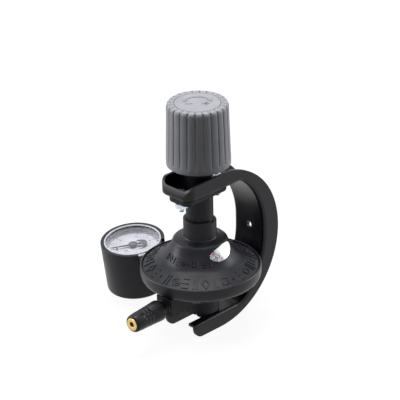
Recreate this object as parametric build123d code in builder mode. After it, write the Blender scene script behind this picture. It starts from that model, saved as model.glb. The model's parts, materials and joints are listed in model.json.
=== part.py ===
"""Clamp-on gas regulator with a hose tail, a screw-down hand knob and a pressure gauge.

Frame: millimetres, +Z up.  The origin is the centre of the inlet boss's lower face, on the
regulator's own axis.  The hose tail leaves along -X and the gauge stands on the +Y side.
"""
from build123d import *
from math import asin, atan2, cos, degrees, radians, sin, sqrt
import os

os.makedirs("parts", exist_ok=True)

# --- Fits and seats -----------------------------------------------------------------------
RUN_FIT = 0.05          # radial clearance of a shaft that turns or slides
LOOSE_FIT = 0.1         # radial clearance of the telescoping neck and of clearance holes
SEAT_GAP = 0.02         # what a dropped-in piece stands off its seat
FOIL_GAP = 0.1          # what the glued foil seal stands off the cone

# --- Clamp arm: one pressed steel channel, bent into a C ------------------------------------
ARM_YAW = -2.5          # turn of the arm about the regulator's axis
ARM_WIDTH = 26.0
ARM_SHEET = 1.7
ARM_BEND = 2.4          # outer radius of the folded channel edges
WEB_REACH = 44.0        # inner face of the spine from the axis
TRAY_LEVEL = 83.0       # underside of the tray floor
TRAY_RIM = 10.5
TRAY_LIP = 3.2
TRAY_END = 22.5
TRAY_CORNER = 6.0
RIM_START = 16.5        # where the tray's side rims reach their full height
FORK_LEVEL = -1.5       # upper face of the fork floor
FORK_DEPTH = 9.6
FORK_TIP = 19.3
FORK_CORNER = 7.0
SLOT_RADIUS = 7.6       # the slot that slips under the valve's collar
SHOULDER_RADIUS = 48.0  # long curve from tray to spine
HIP_RADIUS = 50.0       # long curve from spine to fork
SPINE_TOP = 44.7        # the spine's inner face is upright between these two heights
SPINE_FOOT = 39.0
TRAY_BEND = 5.0
FORK_BEND = 12.0
BACK_REACH = 57.1       # free edge of the flanges behind the spine, one arc from the keel up
RIM_DROP = 1.2          # how far that arc would rise above the tray's rims
RIM_BEND = 20.0
HANGING_HOLE = 2.1

# --- Neck bridge, its screws and the spindle nut --------------------------------------------
PLATE_FRONT = 19.5      # plate ends, from the axis
PLATE_REAR = 17.5
PLATE_WIDTH = 18.0
PLATE_THICK = 4.5
PLATE_CORNER = 4.5
NECK_RADIUS = 8.6
NECK_BORE = 5.6
NECK_END = 56.0
BOSS_RISE = 11.5        # spindle boss above the tray underside
NUT_RADIUS = 7.0
NUT_LENGTH = 12.0
SCREW_PITCH = 31.5
SCREW_RADIUS = 2.0
SCREW_HEAD_RADIUS = 3.6
SCREW_HEAD = 2.3
SCREW_GRIP = 12.0       # from under the head to the end
HEX_NUT_WIDTH = 7.0
HEX_NUT_THICK = 3.0

# --- Spindle and knob -------------------------------------------------------------------------
SPINDLE_RADIUS = 5.0
THREAD_DEPTH = 0.6
THREAD_PITCH = 2.5
LIFT = 14.5             # travel of the regulator towards the tray
SHANK_RADIUS = 4.3
SHOULDER_SEAT_RADIUS = 7.6
SHOULDER_THICK = 2.0
WASHER_THICK = 0.8
JOURNAL_RADIUS = 4.0
CLIP_RADIUS = 6.2
CLIP_THICK = 0.7
CLIP_GROOVE = 0.6
SPINDLE_HEAD_RADIUS = 4.0
SPINDLE_FLAT = 3.2      # distance of the driving flat from the axis
KNOB_BOTTOM = 100.0
KNOB_HEIGHT = 40.3
KNOB_RADIUS = 20.0
KNOB_TOP_RADIUS = 19.0
KNOB_CROWN = 2.5
KNOB_WALL = 2.2
KNOB_RIBS = 24
KNOB_GROOVE = 0.9
KNOB_BAND = 3.5
KNOB_HUB_RADIUS = 7.5
KNOB_HUB_GAP = 4.0      # hub end above the knob's rim
CAP_RADIUS = 14.2
CAP_THICK = 1.4
KNOB_SCREW_RADIUS = 2.0
KNOB_SCREW_HEAD_RADIUS = 3.8
KNOB_SCREW_HEAD = 2.4
KNOB_SCREW_LENGTH = 14.0
KNOB_WASHER_RADIUS = 5.0
KNOB_WASHER_THICK = 0.7

# --- Diaphragm housing --------------------------------------------------------------------------
DISC_RADIUS = 38.0
DISC_TOP = 30.5
CRIMP_BOTTOM = 23.3
CRIMP_SHEET = 0.8
CRIMP_LIP = 2.4
CRIMP_FLOOR_LIP = 3.4
FLANGE_THICK = 2.4
DIAPHRAGM_THICK = 0.5
DIAPHRAGM_BEAD = 1.0
BONNET_WALL = 2.2
CONE_FOOT_RADIUS = 25.0
CONE_FOOT = 36.5
CONE_TOP_RADIUS = 17.0
CONE_TOP = 49.3
CONE_SAG = 1.0          # how far the cone's side bows inwards
COLLAR_FOOT = 50.5
COLLAR_RADIUS = 10.4
COLLAR_TOP = 63.0
COLLAR_STEP = 1.5
WELL_FLOOR = 34.5
WELL_FLOOR_THICK = 2.5
VENT_RADIUS = 0.9
STICKER_LENGTH = 19.0
STICKER_HEIGHT = 7.6
STICKER_THICK = 0.15
STICKER_AZIMUTH = -91.5
STICKER_LEVEL = 45.0
STICKER_TILT = 10.0

# --- Lower housing, inlet and outlet --------------------------------------------------------------
INLET_RADIUS = 11.3
INLET_BORE = 5.2
SEAL_RADIUS = 9.6
SEAL_THICK = 2.6
PAN_LIP_GAP = 0.6       # between the pan's lip and the crimp ring's lower edge
PAN_SIDE_STEP = 4.0     # the pan's side inwards from its lip
PAN_WALL = 3.0
PAN_SIDE = 20.0
PAN_FLOOR_RADIUS = 17.0
PAN_FLOOR = 11.0
CHAMBER_FLOOR = 14.0
CHAMBER_FLOOR_RADIUS = 17.0
CHAMBER_SHOULDER = 22.0
PIN_RADIUS = 3.2
PIN_DROP = 6.5          # how far the valve pin stands out of the inlet
PIN_SHANK = 1.5
CARRIER_FOOT = 3.4
CARRIER_THICK = 2.4
CARRIER_PORT = 0.7
CARRIER_PORTS = 4
FILTER_THICK = 1.6
OUTLET_LEVEL = 13.7
OUTLET_REACH = 34.2
OUTLET_HALF_WIDTH = 6.0
OUTLET_BOTTOM = 8.0
OUTLET_TOP = 20.4
OUTLET_BORE = 3.0
OUTLET_DROP = 14.0      # where the outlet passage meets the chamber floor
TAIL_THREAD_RADIUS = 4.3
TAIL_THREAD = 5.0
TAIL_SEAL_RADIUS = 5.7
TAIL_SEAL_THICK = 0.8
TAIL_COLLAR = 1.0
TAIL_LENGTH = 28.8      # from the outlet block to the tip
TAIL_TIP_RADIUS = 5.5
TAIL_BARB_RADIUS = 6.1
TAIL_BARB = 9.0         # distance of the first barb from the tip
TAIL_STOP_RADIUS = 6.7
TAIL_STOP = 22.6
TAIL_STEM_RADIUS = 5.7
TAIL_NECK_RADIUS = 5.1
BARB_LAND = 1.2
INSERT_RADIUS = 4.4
INSERT_BORE = 1.7
INSERT_LENGTH = 9.0
INSERT_PROUD = 0.4
TAIL_BORE = 2.4

# --- Pressure-reducing mechanism ------------------------------------------------------------------
ORIFICE_LEVEL = 17.5
ORIFICE_FACE = 4.0      # end of the orifice block from the axis
ORIFICE_BLOCK_HALF = 3.5
ORIFICE_BLOCK_TOP = 19.8
GAS_BORE = 1.6
ORIFICE_BORE = 0.7
ORIFICE_HEX_RADIUS = 2.5
ORIFICE_HEX = 1.0
ORIFICE_NOSE = 1.2
SEAT_LIFT = 0.25        # gap between the orifice nose and the rubber pad at rest
PAD_RADIUS = 2.2
PAD_THICK = 1.2
HOLDER_RADIUS = 3.0
HOLDER_LENGTH = 5.0
HOLDER_LIP = 0.6        # rim that holds the pad
GUIDE_START = 9.2
GUIDE_LENGTH = 2.2
GUIDE_HALF_WIDTH = 4.6
GUIDE_TOP = 21.4
PIVOT_REACH = 15.5
PIVOT_LEVEL = 20.5
PIVOT_RADIUS = 1.0
EAR_INNER = 3.0
EAR_THICK = 1.6
EAR_RADIUS = 2.0
LEVER_TOP = 23.5
LEVER_THICK = 1.0
LEVER_HALF_WIDTH = 2.2
LEVER_HUB_RADIUS = 1.9
LEVER_SIDE_GAP = 0.2
LEVER_TOE_GAP = 0.1     # lever toe from the seat holder
FORK_HALF_WIDTH = 3.4
STEM_RADIUS = 1.5
STEM_SHOULDER_RADIUS = 2.8
STEM_FOOT_THICK = 0.6
LEVER_PLAY = 0.3
LOWER_PLATE_RADIUS = 15.0
UPPER_PLATE_RADIUS = 16.5
PLATE_SHEET = 0.8
STEM_NUT_RADIUS = 3.0
STEM_NUT = 0.8
SPRING_RADIUS = 13.4
SPRING_WIRE = 0.8
SPRING_TURNS = 5

# --- Pressure gauge ---------------------------------------------------------------------------------
GAUGE_GAP = 0.4         # between the lens and the rim of the diaphragm housing
GAUGE_TILT = 6.3        # the dial leans towards the hose tail
GAUGE_LEVEL = 11.4      # height of the stem
GAUGE_FOOT = -15.2      # case bottom, from the stem along the case's axis
GAUGE_RIM = 18.5
CASE_RADIUS = 20.6
CASE_FOOT_RADIUS = 19.5
CASE_WALL = 2.1
CASE_FOOT_ROUND = 2.5
NOTCH_HALF_ANGLE = 36.0
NOTCH_GAP = 1.0         # between the notch floor and the rim of the diaphragm housing
DIAL_LEVEL = 12.4
DIAL_SHEET = 0.6
LINER_WALL = 0.9
LENS_FOOT = 16.1
LENS_THICK = 1.5
DIAL_SCREW_PITCH = 13.0
DIAL_SCREW_RADIUS = 0.6
DIAL_SCREW_HEAD = 1.1
PORT_BOSS_RADIUS = 7.0
PORT_THREAD_RADIUS = 4.9
PORT_THREAD = 9.0
PORT_BORE = 1.5
PORT_SEAL_THICK = 0.8
STEM_HEX = 12.0
STEM_HEX_LENGTH = 3.2
STEM_NECK_RADIUS = 4.6
SOCKET_HALF_WIDTH = 4.5
SOCKET_REACH = 12.0
SOCKET_FOOT = -4.5
SOCKET_TOP = 4.0
TUBE_RADIUS = 12.4
TUBE_HALF_THICK = 0.8
TUBE_HALF_HEIGHT = 2.4
TUBE_START = -64.0
TUBE_SWEEP = 235.0
MOVEMENT_SHEET = 0.8
MOVEMENT_GAP = 6.0
MOVEMENT_RADIUS = 3.4
PILLAR_RADIUS = 1.0
GEAR_CENTRES = 7.0
PINION_RADIUS = 1.2
PINION_TEETH = 12
GEAR_TIP_GAP = 0.05
TOOTH_DEPTH = 0.25
ARBOR_RADIUS = 0.6
GEAR_THICK = 1.2
SECTOR_ARC = 96.0
POINTER_TRAVEL = 270.0
POINTER_REST = 141.0
POINTER_LENGTH = 14.8
POINTER_SHEET = 0.5
POINTER_GAP = 1.2       # pointer above the dial
POINTER_HUB_RADIUS = 2.7
POINTER_TAIL = 5.0
POINTER_TAIL_RADIUS = 4.2
POINTER_CRESCENT = 3.4  # radius of the bite that makes the tail a crescent
POINTER_BITE = 1.6      # the bite's centre, from the tail's centre towards the hub
STOP_PIN_RADIUS = 0.4
STOP_PIN_REACH = 10.5
STOP_PIN_TURN = 5.0     # behind the needle at rest

# --- Levels and places that follow from the sizes -----------------------------------------------------
tray_floor = TRAY_LEVEL + ARM_SHEET
rim_level = TRAY_LEVEL + TRAY_RIM
keel_level = FORK_LEVEL - FORK_DEPTH
plate_bottom = TRAY_LEVEL - PLATE_THICK
boss_top = TRAY_LEVEL + BOSS_RISE
nut_bottom = boss_top - NUT_LENGTH
well_underside = WELL_FLOOR - WELL_FLOOR_THICK
shoulder_seat = WELL_FLOOR + WASHER_THICK + 2 * SEAT_GAP
flange_top = CRIMP_BOTTOM + CRIMP_SHEET + FLANGE_THICK
bonnet_foot = flange_top + DIAPHRAGM_THICK
flange_radius = DISC_RADIUS - CRIMP_SHEET
pan_lip_radius = DISC_RADIUS - CRIMP_FLOOR_LIP - PAN_LIP_GAP
pan_side_radius = pan_lip_radius - PAN_SIDE_STEP
chamber_radius = pan_side_radius - PAN_WALL
knob_top = KNOB_BOTTOM + KNOB_HEIGHT
cone_roof = CONE_TOP - BONNET_WALL
tail_tip = -OUTLET_REACH - TAIL_LENGTH
back_radius = (rim_level + RIM_DROP - keel_level) / 2
back_level = keel_level + back_radius
case_taper = (CASE_RADIUS - CASE_FOOT_RADIUS) / (GAUGE_RIM - GAUGE_FOOT)


def case_radius(level):
    """Outer radius of the tapered gauge case at a level along its axis."""
    return CASE_FOOT_RADIUS + (level - GAUGE_FOOT) * case_taper


def cavity_radius(level):
    """Radius of the gauge case's cavity at a level along its axis."""
    return case_radius(level) - CASE_WALL


gauge_reach = DISC_RADIUS + GAUGE_GAP + cavity_radius(LENS_FOOT)
notch_floor = CRIMP_BOTTOM - NOTCH_GAP - GAUGE_LEVEL
hex_end = gauge_reach - case_radius(STEM_HEX / 2 + LOOSE_FIT) - SEAT_GAP
hex_start = hex_end - STEM_HEX_LENGTH
port_boss_reach = hex_start - PORT_SEAL_THICK
inlet_depth = GAUGE_LEVEL - PORT_BORE

arm_side = Plane.XZ.rotated((0, 0, ARM_YAW))
arm_plan = Plane.XY.rotated((0, 0, ARM_YAW))
gauge_plan = Plane(
    origin=(0, gauge_reach, GAUGE_LEVEL),
    x_dir=(cos(radians(GAUGE_TILT)), 0, sin(radians(GAUGE_TILT))),
    z_dir=(-sin(radians(GAUGE_TILT)), 0, cos(radians(GAUGE_TILT))),
)
gauge_axis = Axis(gauge_plan.origin, gauge_plan.z_dir)
gauge_side = Plane(
    origin=gauge_plan.origin,
    x_dir=gauge_plan.x_dir,
    z_dir=gauge_plan.x_dir.cross(gauge_plan.z_dir),
)


def save(builder, label):
    """Label a finished piece and write its STEP file."""
    builder.part.label = label
    export_step(builder.part, f"parts/{label}.step")


def lathe(outline, plane=Plane.XZ, axis=Axis.Z):
    """Revolve a closed outline of (radius, height) points within the current part."""
    with BuildSketch(plane) as profile:
        with BuildLine():
            Polyline(*outline, close=True)
        make_face()
    revolve(profile.sketch, axis=axis)


# --- Clamp arm ----------------------------------------------------------------------------------------
shoulder_centre = (WEB_REACH - SHOULDER_RADIUS, SPINE_TOP)
hip_centre = (WEB_REACH - HIP_RADIUS, SPINE_FOOT)
back_centre = (BACK_REACH - back_radius, back_level)


def bend_between(centre, radius, level, bend):
    """Bend from a large arc into a level line: its centre X and the arc's angle there."""
    reach = radius - bend
    rise = level - centre[1]
    return centre[0] + sqrt(reach**2 - rise**2), degrees(asin(abs(rise) / reach))


tray_bend_x, tray_turn = bend_between(
    shoulder_centre, SHOULDER_RADIUS, TRAY_LEVEL - TRAY_BEND, TRAY_BEND
)
fork_bend_x, fork_turn = bend_between(hip_centre, HIP_RADIUS, FORK_LEVEL + FORK_BEND, FORK_BEND)
rim_bend_x, rim_turn = bend_between(back_centre, back_radius, rim_level - RIM_BEND, RIM_BEND)


def web_run(step, tray_start, fork_stop):
    """Side view of the channel's web, a distance step outside its inner face."""
    Line((-tray_start, TRAY_LEVEL + step), (tray_bend_x, TRAY_LEVEL + step))
    CenterArc((tray_bend_x, TRAY_LEVEL - TRAY_BEND), TRAY_BEND + step, tray_turn, 90 - tray_turn)
    CenterArc(shoulder_centre, SHOULDER_RADIUS + step, 0, tray_turn)
    Line((WEB_REACH + step, shoulder_centre[1]), (WEB_REACH + step, hip_centre[1]))
    CenterArc(hip_centre, HIP_RADIUS + step, -fork_turn, fork_turn)
    CenterArc((fork_bend_x, FORK_LEVEL + FORK_BEND), FORK_BEND + step, -90, 90 - fork_turn)
    Line((fork_bend_x, FORK_LEVEL - step), (-fork_stop, FORK_LEVEL - step))


def on_web(edge, line, half_width):
    """True for an edge that follows the web's side view at one of the channel's two sides."""
    middle = arm_side.to_local_coords(edge @ 0.5)
    beside = abs(abs(middle.Z) - half_width) < 0.01
    flat = arm_side.from_local_coords(Vector(middle.X, middle.Y, 0))
    return beside and line.distance_to(Vertex(*flat)) < 0.01


with BuildLine(arm_side) as web_outer:
    web_run(0, TRAY_END, FORK_TIP)
with BuildLine(arm_side) as web_inner:
    web_run(ARM_SHEET, TRAY_END, FORK_TIP)

with BuildPart() as clamp_arm:
    with BuildSketch(arm_side):
        with BuildLine():
            web_run(0, TRAY_END, FORK_TIP)
            Line((-FORK_TIP, FORK_LEVEL), (-FORK_TIP, keel_level + FORK_CORNER))
            CenterArc((FORK_CORNER - FORK_TIP, keel_level + FORK_CORNER), FORK_CORNER, 180, 90)
            Line((FORK_CORNER - FORK_TIP, keel_level), (back_centre[0], keel_level))
            CenterArc(back_centre, back_radius, -90, 90 + rim_turn)
            CenterArc((rim_bend_x, rim_level - RIM_BEND), RIM_BEND, rim_turn, 90 - rim_turn)
            Line((rim_bend_x, rim_level), (-TRAY_END, rim_level))
            Line((-TRAY_END, rim_level), (-TRAY_END, TRAY_LEVEL))
        make_face()
    extrude(amount=ARM_WIDTH / 2, both=True)
    tray_corners = clamp_arm.edges().filter_by(Axis.Z).filter_by(
        lambda edge: abs(arm_side.to_local_coords(edge @ 0.5).X + TRAY_END) < 0.01
    )
    fillet(tray_corners, TRAY_CORNER)
    fillet(clamp_arm.edges().filter_by(
        lambda edge: on_web(edge, web_outer.line, ARM_WIDTH / 2)
    ), ARM_BEND)
    with BuildSketch(arm_side):
        with BuildLine():
            web_run(ARM_SHEET, RIM_START, FORK_TIP + FORK_CORNER)
            Polyline(
                (-FORK_TIP - FORK_CORNER, FORK_LEVEL - ARM_SHEET),
                (-FORK_TIP - FORK_CORNER, keel_level - FORK_DEPTH),
                (BACK_REACH + ARM_WIDTH, keel_level - FORK_DEPTH),
                (BACK_REACH + ARM_WIDTH, rim_level + RIM_BEND),
                (-RIM_START, rim_level + RIM_BEND),
                (-RIM_START, tray_floor),
            )
        make_face()
    extrude(amount=ARM_WIDTH / 2 - ARM_SHEET, both=True, mode=Mode.SUBTRACT)
    with BuildSketch(arm_plan.offset(tray_floor)) as tray_pocket:
        with Locations((ARM_SHEET - TRAY_END, 0)):
            Rectangle(TRAY_END, ARM_WIDTH - 2 * ARM_SHEET, align=(Align.MIN, Align.CENTER))
        fillet(tray_pocket.vertices().group_by(Axis.X)[0], TRAY_CORNER - ARM_SHEET)
    extrude(amount=2 * TRAY_RIM, mode=Mode.SUBTRACT)
    with BuildSketch(arm_side):
        with BuildLine():
            Polyline(
                (-RIM_START, rim_level),
                (-RIM_START, rim_level + TRAY_LIP),
                (-TRAY_END - TRAY_RIM, rim_level + TRAY_LIP),
                (-TRAY_END - TRAY_RIM, TRAY_LEVEL + TRAY_LIP),
                (-TRAY_END, TRAY_LEVEL + TRAY_LIP),
            )
            RadiusArc(
                (-TRAY_END, TRAY_LEVEL + TRAY_LIP), (-RIM_START, rim_level),
                TRAY_END - RIM_START + TRAY_LIP,
            )
        make_face()
    extrude(amount=ARM_WIDTH, both=True, mode=Mode.SUBTRACT)
    with BuildSketch(arm_plan.offset(FORK_LEVEL + ARM_BEND)):
        Circle(SLOT_RADIUS)
        with Locations((-FORK_TIP, 0)):
            Rectangle(2 * FORK_TIP, 2 * SLOT_RADIUS)
    extrude(amount=-FORK_DEPTH, mode=Mode.SUBTRACT)
    with BuildSketch(arm_plan.offset(TRAY_LEVEL - ARM_SHEET)):
        Circle(NECK_RADIUS + LOOSE_FIT)
        with Locations((-SCREW_PITCH / 2, 0), (SCREW_PITCH / 2, 0)):
            Circle(SCREW_RADIUS + LOOSE_FIT)
    extrude(amount=3 * ARM_SHEET, mode=Mode.SUBTRACT)
    with BuildSketch(Plane.YZ.rotated((0, 0, ARM_YAW)).offset(WEB_REACH - 2 * ARM_SHEET)):
        with Locations((0, back_level)):
            Circle(HANGING_HOLE)
    extrude(amount=4 * ARM_SHEET, mode=Mode.SUBTRACT)
save(clamp_arm, "clamp_arm")

# --- Neck bridge: die-cast plate, telescoping neck and spindle boss, screwed under the tray ----------
with BuildPart() as neck_bridge:
    with BuildSketch(arm_plan.offset(plate_bottom)):
        with Locations(((PLATE_REAR - PLATE_FRONT) / 2, 0)):
            RectangleRounded(PLATE_FRONT + PLATE_REAR, PLATE_WIDTH, PLATE_CORNER)
    extrude(amount=PLATE_THICK)
    fillet(neck_bridge.faces().sort_by(Axis.Z)[0].edges(), ARM_SHEET / 2)
    with BuildSketch(Plane.XY.offset(NECK_END)):
        Circle(NECK_RADIUS)
    extrude(amount=boss_top - NECK_END)
    chamfer(neck_bridge.edges().group_by(Axis.Z)[-1], THREAD_DEPTH)
    with BuildSketch(Plane.XY.offset(NECK_END)):
        Circle(NECK_BORE)
    extrude(amount=nut_bottom - NECK_END, mode=Mode.SUBTRACT)
    with BuildSketch(Plane.XY.offset(nut_bottom)):
        Circle(NUT_RADIUS)
    extrude(amount=NUT_LENGTH, mode=Mode.SUBTRACT)
    with BuildSketch(arm_plan.offset(plate_bottom)):
        with Locations((-SCREW_PITCH / 2, 0), (SCREW_PITCH / 2, 0)):
            Circle(SCREW_RADIUS + LOOSE_FIT)
    extrude(amount=PLATE_THICK, mode=Mode.SUBTRACT)
save(neck_bridge, "neck_bridge")

with BuildPart() as spindle_nut:
    with BuildSketch(Plane.XY.offset(nut_bottom)):
        Circle(NUT_RADIUS)
        Circle(SPINDLE_RADIUS + RUN_FIT, mode=Mode.SUBTRACT)
    extrude(amount=NUT_LENGTH)
    chamfer(spindle_nut.edges().group_by(Axis.Z)[-1].sort_by(SortBy.RADIUS)[0], THREAD_DEPTH)
save(spindle_nut, "spindle_nut")

with BuildPart() as bridge_screws:
    for side in (-1, 1):
        screw_seat = arm_plan.offset(tray_floor)
        with BuildSketch(screw_seat):
            with Locations((side * SCREW_PITCH / 2, 0)):
                Circle(SCREW_HEAD_RADIUS)
        extrude(amount=SCREW_HEAD)
    fillet(bridge_screws.edges().group_by(Axis.Z)[-1], SCREW_HEAD / 2)
    with BuildSketch(arm_plan.offset(tray_floor - SCREW_GRIP)):
        with Locations((-SCREW_PITCH / 2, 0), (SCREW_PITCH / 2, 0)):
            Circle(SCREW_RADIUS)
    extrude(amount=SCREW_GRIP)
    chamfer(bridge_screws.edges().group_by(Axis.Z)[0], SCREW_RADIUS / 4)
    with BuildSketch(arm_plan.offset(tray_floor + SCREW_HEAD)):
        with Locations((-SCREW_PITCH / 2, 0), (SCREW_PITCH / 2, 0)):
            Rectangle(SCREW_HEAD_RADIUS, SCREW_HEAD_RADIUS / 5)
            Rectangle(SCREW_HEAD_RADIUS / 5, SCREW_HEAD_RADIUS)
    extrude(amount=-SCREW_HEAD / 2, mode=Mode.SUBTRACT)
save(bridge_screws, "bridge_screws")

with BuildPart() as bridge_nuts:
    with BuildSketch(arm_plan.offset(plate_bottom - HEX_NUT_THICK)):
        with Locations((-SCREW_PITCH / 2, 0), (SCREW_PITCH / 2, 0)):
            RegularPolygon(HEX_NUT_WIDTH / 2, 6, major_radius=False)
            Circle(SCREW_RADIUS, mode=Mode.SUBTRACT)
    extrude(amount=HEX_NUT_THICK)
save(bridge_nuts, "bridge_nuts")

# --- Spindle, its thrust washer and circlip -----------------------------------------------------------
clip_level = well_underside - CLIP_THICK - 2 * SEAT_GAP
journal_end = clip_level - CLIP_GROOVE
shoulder_top = shoulder_seat + SHOULDER_THICK
thread_start = nut_bottom - LIFT - THREAD_PITCH
thread_count = int((boss_top + THREAD_PITCH - thread_start) / THREAD_PITCH)
hub_bottom = KNOB_BOTTOM + KNOB_HUB_GAP
cap_seat = knob_top - CAP_THICK
screw_recess = cap_seat - KNOB_SCREW_HEAD - KNOB_WASHER_THICK - 2 * LOOSE_FIT
spindle_top = screw_recess - THREAD_PITCH
side_rise = KNOB_HEIGHT - KNOB_BAND - KNOB_CROWN
crown_turn = 90 - degrees(atan2(KNOB_RADIUS - KNOB_TOP_RADIUS, side_rise))

with BuildPart() as thrust_washer:
    with BuildSketch(Plane.XY.offset(WELL_FLOOR + SEAT_GAP)):
        Circle(SHOULDER_SEAT_RADIUS)
        Circle(JOURNAL_RADIUS + RUN_FIT, mode=Mode.SUBTRACT)
    extrude(amount=WASHER_THICK)
save(thrust_washer, "thrust_washer")

with BuildPart() as spindle:
    with BuildSketch(Plane.XZ):
        with BuildLine():
            thread_line = [(SHANK_RADIUS, thread_start)]
            for turn in range(thread_count):
                foot = thread_start + turn * THREAD_PITCH
                thread_line.append((SPINDLE_RADIUS, foot + THREAD_DEPTH))
                thread_line.append((SPINDLE_RADIUS, foot + THREAD_PITCH - THREAD_DEPTH))
                thread_line.append((SPINDLE_RADIUS - THREAD_DEPTH, foot + THREAD_PITCH))
            thread_line.append((SPINDLE_HEAD_RADIUS, foot + THREAD_PITCH + THREAD_DEPTH))
            Polyline(
                (0, journal_end),
                (JOURNAL_RADIUS - CLIP_GROOVE / 2, journal_end),
                (JOURNAL_RADIUS, journal_end + CLIP_GROOVE / 2),
                (JOURNAL_RADIUS, clip_level),
                (JOURNAL_RADIUS - CLIP_GROOVE, clip_level),
                (JOURNAL_RADIUS - CLIP_GROOVE, clip_level + CLIP_THICK),
                (JOURNAL_RADIUS, clip_level + CLIP_THICK),
                (JOURNAL_RADIUS, shoulder_seat),
                (SHOULDER_SEAT_RADIUS, shoulder_seat),
                (SHOULDER_SEAT_RADIUS, shoulder_top),
                (SHANK_RADIUS, shoulder_top),
                *thread_line,
                (SPINDLE_HEAD_RADIUS, spindle_top),
                (0, spindle_top),
                close=True,
            )
        make_face()
    revolve(axis=Axis.Z)
    with BuildSketch(Plane.XY.offset(hub_bottom)):
        with Locations((SPINDLE_FLAT, 0)):
            Rectangle(SPINDLE_RADIUS, 2 * SPINDLE_RADIUS, align=(Align.MIN, Align.CENTER))
    extrude(amount=spindle_top - hub_bottom, mode=Mode.SUBTRACT)
    with BuildSketch(Plane.XY.offset(spindle_top)):
        Circle(KNOB_SCREW_RADIUS)
    extrude(amount=-KNOB_SCREW_LENGTH, mode=Mode.SUBTRACT)
save(spindle, "spindle")

with BuildPart() as spindle_circlip:
    with BuildSketch(Plane.XY.offset(clip_level)):
        Circle(CLIP_RADIUS)
        Circle(JOURNAL_RADIUS - CLIP_GROOVE, mode=Mode.SUBTRACT)
        with Locations((CLIP_RADIUS, 0)):
            Rectangle(CLIP_RADIUS, CLIP_RADIUS / 2, mode=Mode.SUBTRACT)
    extrude(amount=CLIP_THICK)
save(spindle_circlip, "spindle_circlip")

# --- Hand knob: moulded shell, snap-in cap, screw and washer -----------------------------------------------
with BuildPart() as knob_shell:
    with BuildSketch(Plane.XZ):
        with BuildLine():
            shell_side = Polyline(
                (0, knob_top),
                (KNOB_TOP_RADIUS - KNOB_CROWN, knob_top),
            )
            crown = JernArc(shell_side @ 1, (1, 0), KNOB_CROWN, -crown_turn)
            Polyline(
                crown @ 1,
                (KNOB_RADIUS, KNOB_BOTTOM + KNOB_BAND),
                (KNOB_RADIUS, KNOB_BOTTOM),
                (0, KNOB_BOTTOM),
                (0, knob_top),
            )
        make_face()
    revolve(axis=Axis.Z)
    with BuildSketch(Plane.XZ):
        Polygon(
            (KNOB_HUB_RADIUS, KNOB_BOTTOM),
            (KNOB_RADIUS - KNOB_WALL, KNOB_BOTTOM),
            (KNOB_TOP_RADIUS - KNOB_WALL, cap_seat - KNOB_CROWN - KNOB_WALL),
            (KNOB_TOP_RADIUS - KNOB_CROWN, cap_seat - KNOB_WALL),
            (KNOB_HUB_RADIUS, cap_seat - KNOB_WALL),
            align=None,
        )
    revolve(axis=Axis.Z, mode=Mode.SUBTRACT)
    with BuildSketch(Plane.XY.offset(KNOB_BOTTOM)):
        Circle(KNOB_HUB_RADIUS)
    extrude(amount=KNOB_HUB_GAP, mode=Mode.SUBTRACT)
    with BuildSketch(Plane.XY.offset(hub_bottom)):
        Circle(SPINDLE_HEAD_RADIUS + SEAT_GAP)
        with Locations((SPINDLE_FLAT + SEAT_GAP, 0)):
            Rectangle(
                SPINDLE_RADIUS, 2 * SPINDLE_RADIUS,
                align=(Align.MIN, Align.CENTER), mode=Mode.SUBTRACT,
            )
    extrude(amount=spindle_top + SEAT_GAP - hub_bottom, mode=Mode.SUBTRACT)
    with BuildSketch(Plane.XY.offset(spindle_top)):
        Circle(KNOB_SCREW_RADIUS + LOOSE_FIT)
    extrude(amount=knob_top - spindle_top, mode=Mode.SUBTRACT)
    with BuildSketch(Plane.XY.offset(screw_recess)):
        Circle(KNOB_WASHER_RADIUS + LOOSE_FIT)
    extrude(amount=knob_top - screw_recess, mode=Mode.SUBTRACT)
    with BuildSketch(Plane.XY.offset(cap_seat)):
        Circle(CAP_RADIUS + LOOSE_FIT)
    extrude(amount=CAP_THICK, mode=Mode.SUBTRACT)
    with BuildSketch(Plane.XY.offset(KNOB_BOTTOM + KNOB_BAND)):
        with PolarLocations(KNOB_RADIUS, KNOB_RIBS):
            Rectangle(2 * KNOB_GROOVE, KNOB_GROOVE)
    extrude(amount=KNOB_HEIGHT, mode=Mode.SUBTRACT)
save(knob_shell, "knob_shell")

with BuildPart() as knob_cap:
    with BuildSketch(Plane.XY.offset(cap_seat)):
        Circle(CAP_RADIUS)
    extrude(amount=CAP_THICK)
    fillet(knob_cap.edges().group_by(Axis.Z)[-1], CAP_THICK / 3)
save(knob_cap, "knob_cap")

with BuildPart() as knob_washer:
    with BuildSketch(Plane.XY.offset(screw_recess)):
        Circle(KNOB_WASHER_RADIUS)
        Circle(KNOB_SCREW_RADIUS + LOOSE_FIT, mode=Mode.SUBTRACT)
    extrude(amount=KNOB_WASHER_THICK)
save(knob_washer, "knob_washer")

screw_head_foot = screw_recess + KNOB_WASHER_THICK
with BuildPart() as knob_screw:
    with BuildSketch(Plane.XY.offset(screw_head_foot)):
        Circle(KNOB_SCREW_HEAD_RADIUS)
    extrude(amount=KNOB_SCREW_HEAD)
    with BuildSketch(Plane.XY.offset(spindle_top - KNOB_SCREW_LENGTH + THREAD_PITCH)):
        Circle(KNOB_SCREW_RADIUS)
    extrude(amount=screw_head_foot - spindle_top + KNOB_SCREW_LENGTH - THREAD_PITCH)
    with BuildSketch(Plane.XY.offset(screw_head_foot + KNOB_SCREW_HEAD)):
        Rectangle(KNOB_SCREW_HEAD_RADIUS, KNOB_SCREW_HEAD_RADIUS / 5)
        Rectangle(KNOB_SCREW_HEAD_RADIUS / 5, KNOB_SCREW_HEAD_RADIUS)
    extrude(amount=-KNOB_SCREW_HEAD / 2, mode=Mode.SUBTRACT)
save(knob_screw, "knob_screw")

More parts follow.
